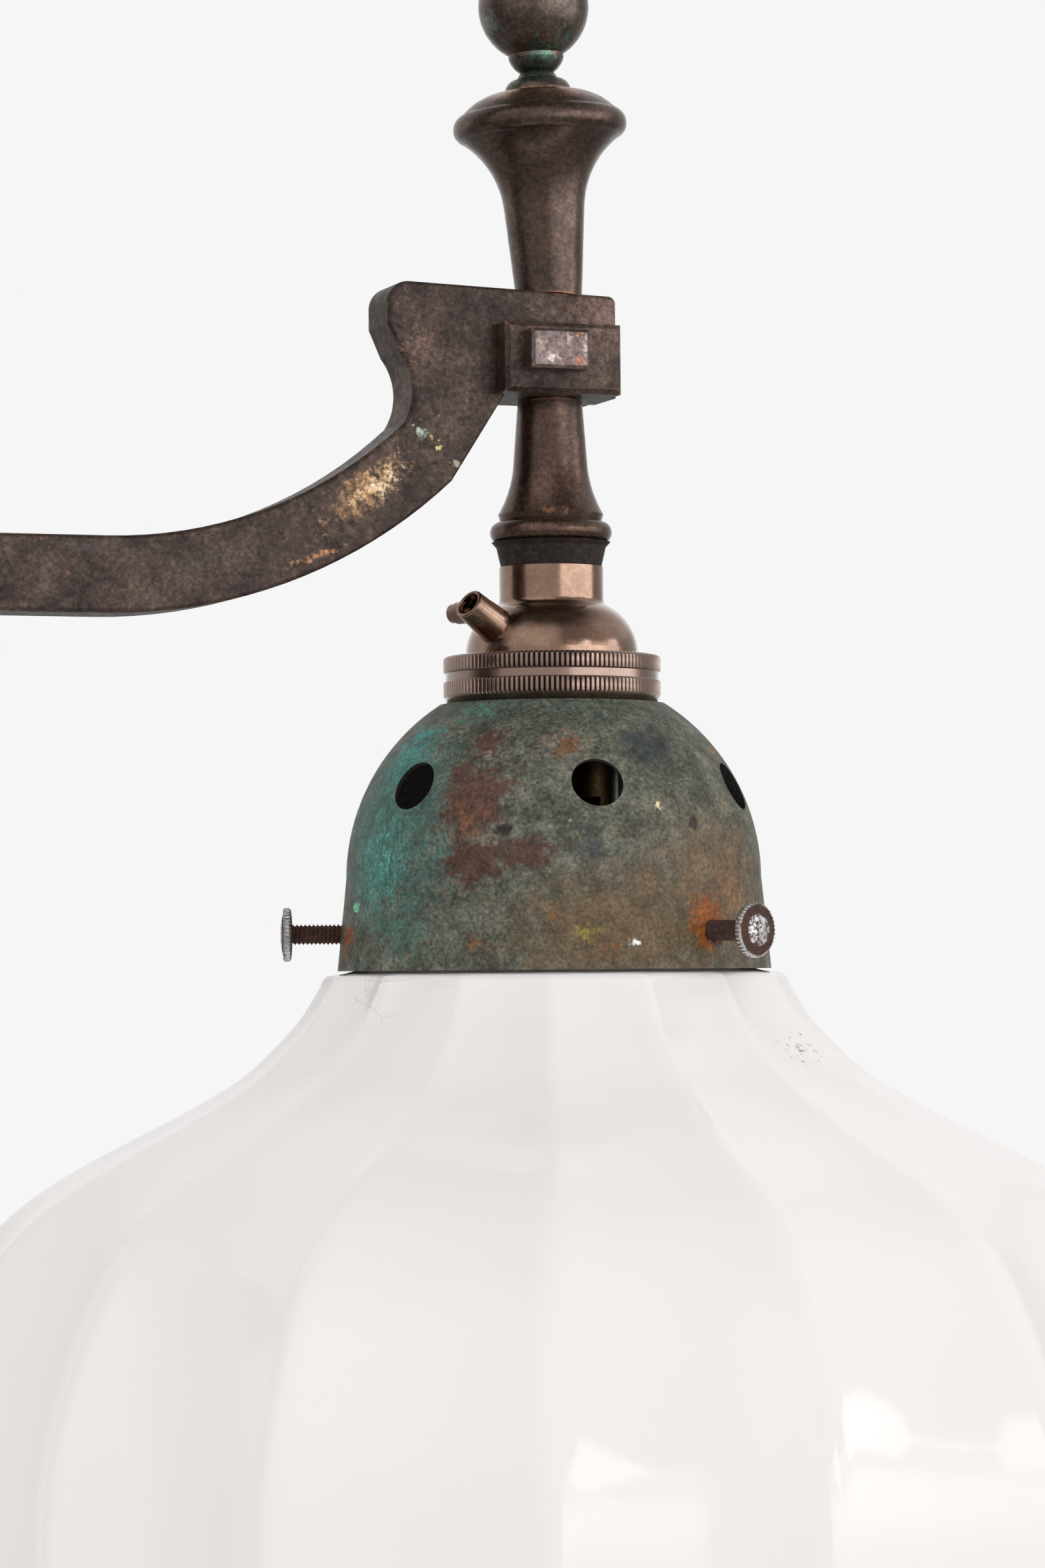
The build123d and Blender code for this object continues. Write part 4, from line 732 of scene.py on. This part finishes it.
CAD_FINISHES = {
    arm_bronze: ("wall_plate", "arm_socket", "arm_bar", "end_block"),
    vase_bronze: ("vase",),
    baluster_bronze: ("baluster",),
    finial_bronze: ("finial",),
    key_bronze: ("lock_key",),
    cap_bronze: (
        "holder_cap", "earth_terminal", "earth_screw", "union_ring", "shade_ring_upper", "stem_tube",
    ),
    screw_steel: ("socket_screw", "finial_stud", "terminal_screws"),
    gallery_brass: ("gallery",),
    thumb_steel: ("gallery_screw_1", "gallery_screw_2", "gallery_screw_3"),
    shade_glass: ("shade",),
    collar_lacquer: ("collar",),
    tarnished_brass_with_painted_shade: ("shade_ring_lower", "holder_barrel"),
    contact_brass: ("terminal_posts", "terminal_block_screws", "contact_plunger_1", "contact_plunger_2"),
    spring_wire: ("contact_spring_1", "contact_spring_2"),
    insert_porcelain: ("holder_insert",),
    block_moulding: ("terminal_block",),
    flex_cover: ("arm_flex", "stem_flex"),
    core_cover: ("lamp_cores",),
}
for material, names in CAD_FINISHES.items():
    for name in names:
        for slot in nodes[name].material_slots:
            slot.material = material

# Pieces drawn in place of the part's own solids; a profile's rows are those of ribbed_mesh

LAMP_AXIS = Matrix.Translation(metres((AXIS_X, 0, 0)))


def glass_shade():
    """Shade with lip, neck, flat shoulder and fluted bell, then back up the inside."""
    lip = [
        (33.78, 12.6, 0), (34.2, 13.05, 0), (38.9, 13.05, 0), (39.38, 12.6, 0),
        (39.38, 9.9, 0), (38.9, 9.45, 0), (37.7, 9.45, 0), (37.38, 9.1, 0),
    ]
    shoulder = smooth_run([
        (37.38, 1.5, 0), (38.5, 0.3, 0), (40.4, -0.35, 0.1), (42.6, -0.65, 0.5), (44.4, -1.0, 1),
    ], 3)
    bell = smooth_run([
        (45.2, -1.8, 1), (46.1, -3.8, 1), (50.98, -11, 1), (62.98, -22, 1), (99.48, -42, 1),
        (113.18, -55, 1), (125.18, -82, 1), (127.78, -107, 1), (125.98, -148.6, 1),
    ], 7)
    rim = smooth_run([
        (125.9, -149.3, 1), (125.2, -149.85, 1), (124.2, -150, 1), (123.1, -149.8, 1), (122.45, -149.2, 1),
    ], 2)
    inside = smooth_run([
        (122.45, -148.4, 1), (124.2, -107, 1), (121.7, -83, 1), (110.2, -56.9, 1), (97.5, -45, 1),
        (61.0, -25, 1), (48.2, -13.3, 1), (43.6, -6.2, 1),
    ], 6)
    throat = [(42.6, -5.2, 1), (41.0, -5.1, 0), (34.3, -5.1, 0), (33.78, -4.6, 0), lip[0]]
    profile = [(r, MOUTH_Z + z, rib) for r, z, rib in lip + shoulder + bell + rim + inside + throat]
    mesh = ribbed_mesh(
        "shade", profile, shade_glass, FLUTES * FLUTE_STEPS, FLUTES, FLUTE_DEEP, rounding=0.12,
        turn=FLUTE_TURN / 360,
    )
    piece("fluted_glass_shade", [mesh], shade_glass, LAMP_AXIS, "lamp", "shade")


def earth_terminal():
    """Stout tube, wider towards the dome, with a boss at its back for the screw."""
    tube = ribbed_mesh("earth_tube", [
        (0, -7.5, 0), (2.2, -7.5, 0), (2.3, -7.4, 0), (2.3, -0.3, 0), (2.31, -0.12, 0), (2.38, -0.02, 0),
        (2.45, 0, 0), (2.9, 0, 0), (2.98, -0.02, 0), (3.07, -0.12, 0), (3.1, -0.3, 0), (3.25, -3, 0),
        (3.8, -8.8, 0), (3.8, -9, 0), (0, -9, 0),
    ], cap_bronze, TUBE_STEPS)
    boss = ribbed_mesh("earth_boss", [
        (0, 2, 0), (2.2, 2, 0), (2.2, 5.3, 0), (1.9, 5.6, 0), (0, 5.6, 0),
    ], cap_bronze, BOSS_STEPS)
    boss.transform(
        Matrix.Translation(metres((0, 0, -EARTH_SCREW_DOWN))) @ Matrix.Rotation(radians(-90), 4, "X")
    )
    place = (
        LAMP_AXIS @ Matrix.Rotation(radians(EARTH_TURN), 4, "Z") @ Matrix.Translation(metres(EARTH_END))
        @ Matrix.Rotation(radians(EARTH_TILT - 90), 4, "Y")
    )
    piece("stout_earth_terminal", [tube, boss], cap_bronze, place, "lamp", "earth_terminal")


def contact_springs():
    """Closed coils of spring wire, one for each contact, each with a mesh of its own."""
    for number in (1, 2):
        low, high = (Vector(corner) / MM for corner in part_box(f"contact_spring_{number}"))
        middle, tall = (low + high) / 2, high.z - low.z
        coil = coiled_wire((high.x - low.x) / 2 - SPRING_WIRE_R, tall)
        spring = piece(
            f"coil_spring_{number}", [coil], spring_wire,
            Matrix.Translation(metres((middle.x, middle.y, low.z))), "lamp",
            f"contact_spring_{number}",
        )
        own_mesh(spring)


def knurled_rings():
    """Two knurled bands with a smooth groove between them and a smooth foot."""
    upper = [
        (16.85, DOME_FOOT_Z, 0), (20.3, DOME_FOOT_Z, 0), (20.75, -13.95, 0), (21.12, -14.25, 1),
        (RING_R, -14.5, 1), (RING_R, -16.8, 1), (21.12, -17.0, 1), (20.9, -17.12, 0), (GROOVE_R, -17.2, 0),
        (GROOVE_R, RING_JOIN_Z, 0), (19.4, RING_JOIN_Z, 0), (19.4, -15.05, 0), (16.85, -15.05, 0),
        (16.85, DOME_FOOT_Z, 0),
    ]
    lower = [
        (14.3, RING_JOIN_Z, 0), (GROOVE_R, RING_JOIN_Z, 0), (GROOVE_R, -18.7, 0), (20.9, -18.78, 0),
        (21.12, -18.9, 1), (RING_R, -19.1, 1), (RING_R, -21.5, 1), (21.14, -21.7, 1), (21.05, -21.85, 0),
        (20.45, -23.15, 0), (20.3, RING_FOOT_Z, 0), (14.3, RING_FOOT_Z, 0), (14.3, RING_JOIN_Z, 0),
    ]
    for name, profile, node in (
        ("knurled_union_ring", upper, "union_ring"), ("knurled_shade_ring", lower, "shade_ring_upper"),
    ):
        mesh = ribbed_mesh(
            name, profile, ring_bronze, KNURLS * KNURL_STEPS, KNURLS, KNURL_DEEP / RING_R,
            hollow=0.5, rounding=0.15,
        )
        piece(name, [mesh], ring_bronze, LAMP_AXIS, "lamp", node)


def thumbscrews():
    """Threaded shanks, and knurled heads domed inside a rim; heights are out from the lamp axis."""
    thread = [(THUMB_R, THREAD_START + THREAD_ROW * k, 1) for k in range(THREAD_ROWS)]
    shank = ribbed_mesh(
        "thumb_shank", [(0, 37.68, 0), (1.4, 37.68, 0), *thread, (1.7, 51.1, 0), (0, 51.1, 0)], thumb_steel,
        THREAD_STEPS, depth=THREAD_DEEP / THUMB_R, rounding=0.25, lead=1 / (THREAD_PITCH * MM),
    )
    head = ribbed_mesh("thumb_head", [
        (0, 50.95, 0, 0.2), (2.4, 50.95, 0, 0.2), (4.5, 51.1, 0, 0.3), (5.0, 51.3, 1, 0.52),
        (5.25, 51.6, 1, 0.6), (5.25, 52.35, 1, 0.6), (5.05, 52.62, 1, 0.6), (4.8, 52.72, 0.3, 0.48),
        (4.55, 52.68, 0, 0.1), (4.0, 52.74, 0, 0), (3.3, 52.92, 0, 0.1), (3.0, 52.98, 0, 0.46),
        (2.0, 53.12, 0, 0.52), (1.0, 53.2, 0, 0.47), (0, 53.22, 0, 0.47),
    ], thumb_steel, THUMB_KNURLS * THUMB_KNURL_STEPS, THUMB_KNURLS, THUMB_KNURL_DEEP, hollow=0.7)
    for k, angle in enumerate(THUMB_ANGLES, start=1):
        place = LAMP_AXIS @ Matrix.Translation(metres((0, 0, THUMB_Z)))
        place = place @ Matrix.Rotation(radians(angle), 4, "Z") @ Matrix.Rotation(pi / 2, 4, "Y")
        body = f"gallery_screw_{k}"
        piece(f"thumbscrew_{k}", [shank, head], thumb_steel, place, body, body)


glass_shade()
earth_terminal()
contact_springs()
knurled_rings()
thumbscrews()

# Floor, surroundings, lights and camera (m)

FLOOR_Z = -0.42
FLOOR_HALF = 0.9
EYE = (-0.0805, -0.8907, -0.0755)
VIEW_TURN, VIEW_UP, VIEW_ROLL = radians(20), radians(2.22), radians(-0.45)
AHEAD = Vector((sin(VIEW_TURN), cos(VIEW_TURN), 0.0))   # the camera's level directions
ASIDE = Vector((cos(VIEW_TURN), -sin(VIEW_TURN), 0.0))
FRAME_TALL = 2352       # pixels of the photograph
FOCAL_LENGTH = 7315     # in the same pixels
SENSOR = 36.0           # mm
LAMP_TARGET = metres((AXIS_X, 0, -100))
LAMP_AWAY = 1.5
LAMP_POWER = 1.2        # watts
WINDOW_LIGHT = 3.0      # brightness of the window's bright panes in gloss, where 1 is white
LOWER_LIGHT = 2.5       # brightness of the dimmer panes below them
WINDOW_GLOW = 1.3       # brightness of the lit wall round its panes
PANE_HEIGHT = 0.28      # middle of its panes, as the height of a direction one unit long
PANE_TALL = 0.15        # half the height of a full pane


def pale_floor():
    """Painted floor that catches the shadow; polished metal shows it grey, as a painted darker reflection."""
    paint, tree, shader, place = start_finish("pale_floor_paint")
    # Painted reflection: gloss sees the floor as grey
    mirrored = add(tree, "ShaderNodeLightPath").outputs["Is Glossy Ray"]
    colour = mottled(tree, place, 120.0, 20.0, ((0.0, "#EDEDEC"), (1.0, "#F4F4F3")))
    colour = add(
        tree, "ShaderNodeMix", {"Factor": mirrored, "A": colour, "B": linear("#8C8A88")}, data_type="RGBA",
    ).outputs["Result"]
    tree.links.new(colour, shader.inputs["Base Color"])
    uneven(tree, place, shader, 8.0, 0.02, 0.6, 0.8)
    mesh = bpy.data.meshes.new("floor")
    corners = ((-1, -1), (1, -1), (1, 1), (-1, 1))
    mesh.from_pydata([(x * FLOOR_HALF, y * FLOOR_HALF, FLOOR_Z) for x, y in corners], [], [(0, 1, 2, 3)])
    mesh.materials.append(paint)
    floor = bpy.data.objects.new("floor", mesh)
    bpy.context.scene.collection.objects.link(floor)


def turns(degrees):
    """Place on the horizon's colour band of a direction, in degrees to the right of the camera's place."""
    return (degrees + 180) / 360


def room_walls(tree, round_share, height):
    """Colour of the room that gloss shows: walls, a dark ceiling and a dim floor."""
    # White behind the lamp, and at the left a pale wall with a dark doorway
    far_and_left = (
        (turns(-180), "#F4F4F4"), (turns(180), "#F4F4F4"), (turns(-162), "#F0EEEE"),
        (turns(-148), "#D2D0CE"), (turns(-101), "#D2D0CE"), (turns(-93), "#504E4C"),
        (turns(-74), "#565452"), (turns(160), "#F0EEEE"),
    )
    level = add(tree, "ShaderNodeValToRGB", {"Fac": round_share}, stops=far_and_left + (
        (turns(-64), "#D8D6D4"), (turns(12), "#DEDCDA"), (turns(100), "#B0AEAC"), (turns(118), "#A09E9C"),
        (turns(146), "#BAB8B6"),
    )).outputs["Color"]
    # Above the window: a lit wall at the left and a dark one at the right
    upper = add(tree, "ShaderNodeValToRGB", {"Fac": round_share}, stops=far_and_left + (
        (turns(-58), "#F2F0EE"), (turns(6), "#F0EEEC"), (turns(16), "#9C9A98"), (turns(60), "#A6A4A2"),
        (turns(90), "#DAD8D6"), (turns(146), "#CCCAC8"),
    )).outputs["Color"]
    room = level
    for start, full, tint in (
        (0.26, 0.34, upper), (0.72, 0.92, linear("#4C4A48")), (-0.08, -0.4, linear("#767472")),
    ):
        share = add(tree, "ShaderNodeMapRange", {"Value": height, "From Min": start, "From Max": full})
        room = add(
            tree, "ShaderNodeMix", {"Factor": share, "A": room, "B": tint}, data_type="RGBA",
        ).outputs["Result"]
    return room


def window(tree, round_share, height, angle):
    """Window at the right of the room: its share of white, and the strength of the light from there."""
    wall = add(tree, "ShaderNodeMapRange", {
        "Value": angle, "From Min": radians(17), "From Max": radians(22),
    })
    for value, start, full in (
        (angle, radians(106), radians(98)), (height, -0.42, -0.28), (height, 0.34, 0.26),
    ):
        limit = add(tree, "ShaderNodeMapRange", {"Value": value, "From Min": start, "From Max": full})
        wall = add(tree, "ShaderNodeMath", {0: wall, 1: limit}, operation="MULTIPLY")
    # Two bright panes, the nearer one cut off aslant, with a thin gap of light between them
    half = add(tree, "ShaderNodeValToRGB", {"Fac": round_share}, stops=(
        (turns(32), "#000000"), (turns(50), "#F0F0F0"), (turns(53), "#F0F0F0"), (turns(55), "#666666"),
        (turns(83), "#666666"), (turns(85), "#C4C4C4"), (turns(99), "#C4C4C4"), (turns(101), "#000000"),
    ))
    tall = add(tree, "ShaderNodeMath", {0: half, 1: PANE_TALL}, operation="MULTIPLY")
    off = add(tree, "ShaderNodeMath", {0: height, 1: PANE_HEIGHT}, operation="SUBTRACT")
    off = add(tree, "ShaderNodeMath", {0: off}, operation="ABSOLUTE")
    spare = add(tree, "ShaderNodeMath", {0: tall, 1: off}, operation="SUBTRACT")
    bright = add(tree, "ShaderNodeMapRange", {"Value": spare, "From Min": 0.0, "From Max": 0.02})
    # Dimmer panes below them
    foot = add(tree, "ShaderNodeMapRange", {"Value": height, "From Min": -0.08, "From Max": 0.02})
    head = add(tree, "ShaderNodeMapRange", {"Value": height, "From Min": 0.18, "From Max": 0.12})
    low = add(tree, "ShaderNodeMath", {0: foot, 1: head}, operation="MULTIPLY")
    glow = add(tree, "ShaderNodeMix", {"Factor": low, "A": WINDOW_GLOW, "B": LOWER_LIGHT})
    glow = add(tree, "ShaderNodeMix", {"Factor": wall, "A": 1.0, "B": glow})
    strength = add(tree, "ShaderNodeMix", {"Factor": bright, "A": glow, "B": WINDOW_LIGHT})
    white = add(tree, "ShaderNodeMath", {0: wall, 1: bright}, operation="MAXIMUM")
    return white, strength


def surroundings():
    """Even light all round on dull surfaces; polished ones show a pale room with a window at the right."""
    world = bpy.data.worlds.new("studio")
    bpy.context.scene.world = world
    world.use_nodes = True
    world.cycles.sampling_method = "NONE"
    tree = world.node_tree
    tree.nodes.clear()
    way = add(tree, "ShaderNodeTexCoord").outputs["Generated"]
    height = add(tree, "ShaderNodeSeparateXYZ", {0: way}).outputs["Z"]
    back = add(tree, "ShaderNodeVectorMath", {0: way, 1: -AHEAD}, operation="DOT_PRODUCT").outputs["Value"]
    aside = add(tree, "ShaderNodeVectorMath", {0: way, 1: ASIDE}, operation="DOT_PRODUCT").outputs["Value"]
    angle = add(tree, "ShaderNodeMath", {0: aside, 1: back}, operation="ARCTAN2")
    round_share = add(tree, "ShaderNodeMapRange", {"Value": angle, "From Min": -pi, "From Max": pi})
    room = room_walls(tree, round_share, height)
    white, window_strength = window(tree, round_share, height, angle)
    ray = add(tree, "ShaderNodeLightPath").outputs
    colour = room
    for share, tint in (
        (white, "#FFFFFF"), (ray["Is Diffuse Ray"], "#F8F8F8"), (ray["Is Camera Ray"], "#F6F6F6"),
    ):
        colour = add(
            tree, "ShaderNodeMix", {"Factor": share, "A": colour, "B": linear(tint)}, data_type="RGBA",
        ).outputs["Result"]
    plain = add(
        tree, "ShaderNodeMath", {0: ray["Is Diffuse Ray"], 1: ray["Is Camera Ray"]}, operation="MAXIMUM",
    )
    strength = add(tree, "ShaderNodeMix", {"Factor": plain, "A": window_strength, "B": 1.0})
    sky = add(tree, "ShaderNodeBackground", {"Color": colour, "Strength": strength})
    add(tree, "ShaderNodeOutputWorld", {"Surface": sky})


def studio_lamps():
    """Two soft lamps at the right: degrees round from the camera, degrees up, width and height."""
    for name, turn, rise, wide, tall in (("softbox", 20, 26, 0.27, 0.37), ("window", 70, 22, 0.60, 0.22)):
        lamp = bpy.data.lights.new(name, "AREA")
        lamp.shape = "RECTANGLE"
        lamp.size, lamp.size_y, lamp.energy = wide, tall, LAMP_POWER
        stand = bpy.data.objects.new(name, lamp)
        level = ASIDE * sin(radians(turn)) - AHEAD * cos(radians(turn))
        aim = level * cos(radians(rise)) + Vector((0, 0, sin(radians(rise))))
        stand.visible_glossy = False
        stand.location = Vector(LAMP_TARGET) + aim * LAMP_AWAY
        stand.rotation_euler = aim.to_track_quat("Z", "Y").to_euler()
        bpy.context.scene.collection.objects.link(stand)


def photo_camera():
    """Camera at the photograph's viewing angle."""
    view = bpy.data.cameras.new("camera")
    view.sensor_width = SENSOR
    view.lens = FOCAL_LENGTH * SENSOR / FRAME_TALL
    view.clip_start = 0.01
    camera = bpy.data.objects.new("camera", view)
    look = AHEAD * cos(VIEW_UP) + Vector((0, 0, sin(VIEW_UP)))
    camera.location = EYE
    camera.rotation_euler = (look.to_track_quat("-Z", "Y") @ Quaternion((0, 0, 1), VIEW_ROLL)).to_euler()
    bpy.context.scene.collection.objects.link(camera)
    bpy.context.scene.camera = camera


pale_floor()
surroundings()
studio_lamps()
photo_camera()
bpy.context.scene.view_settings.view_transform = "Standard"
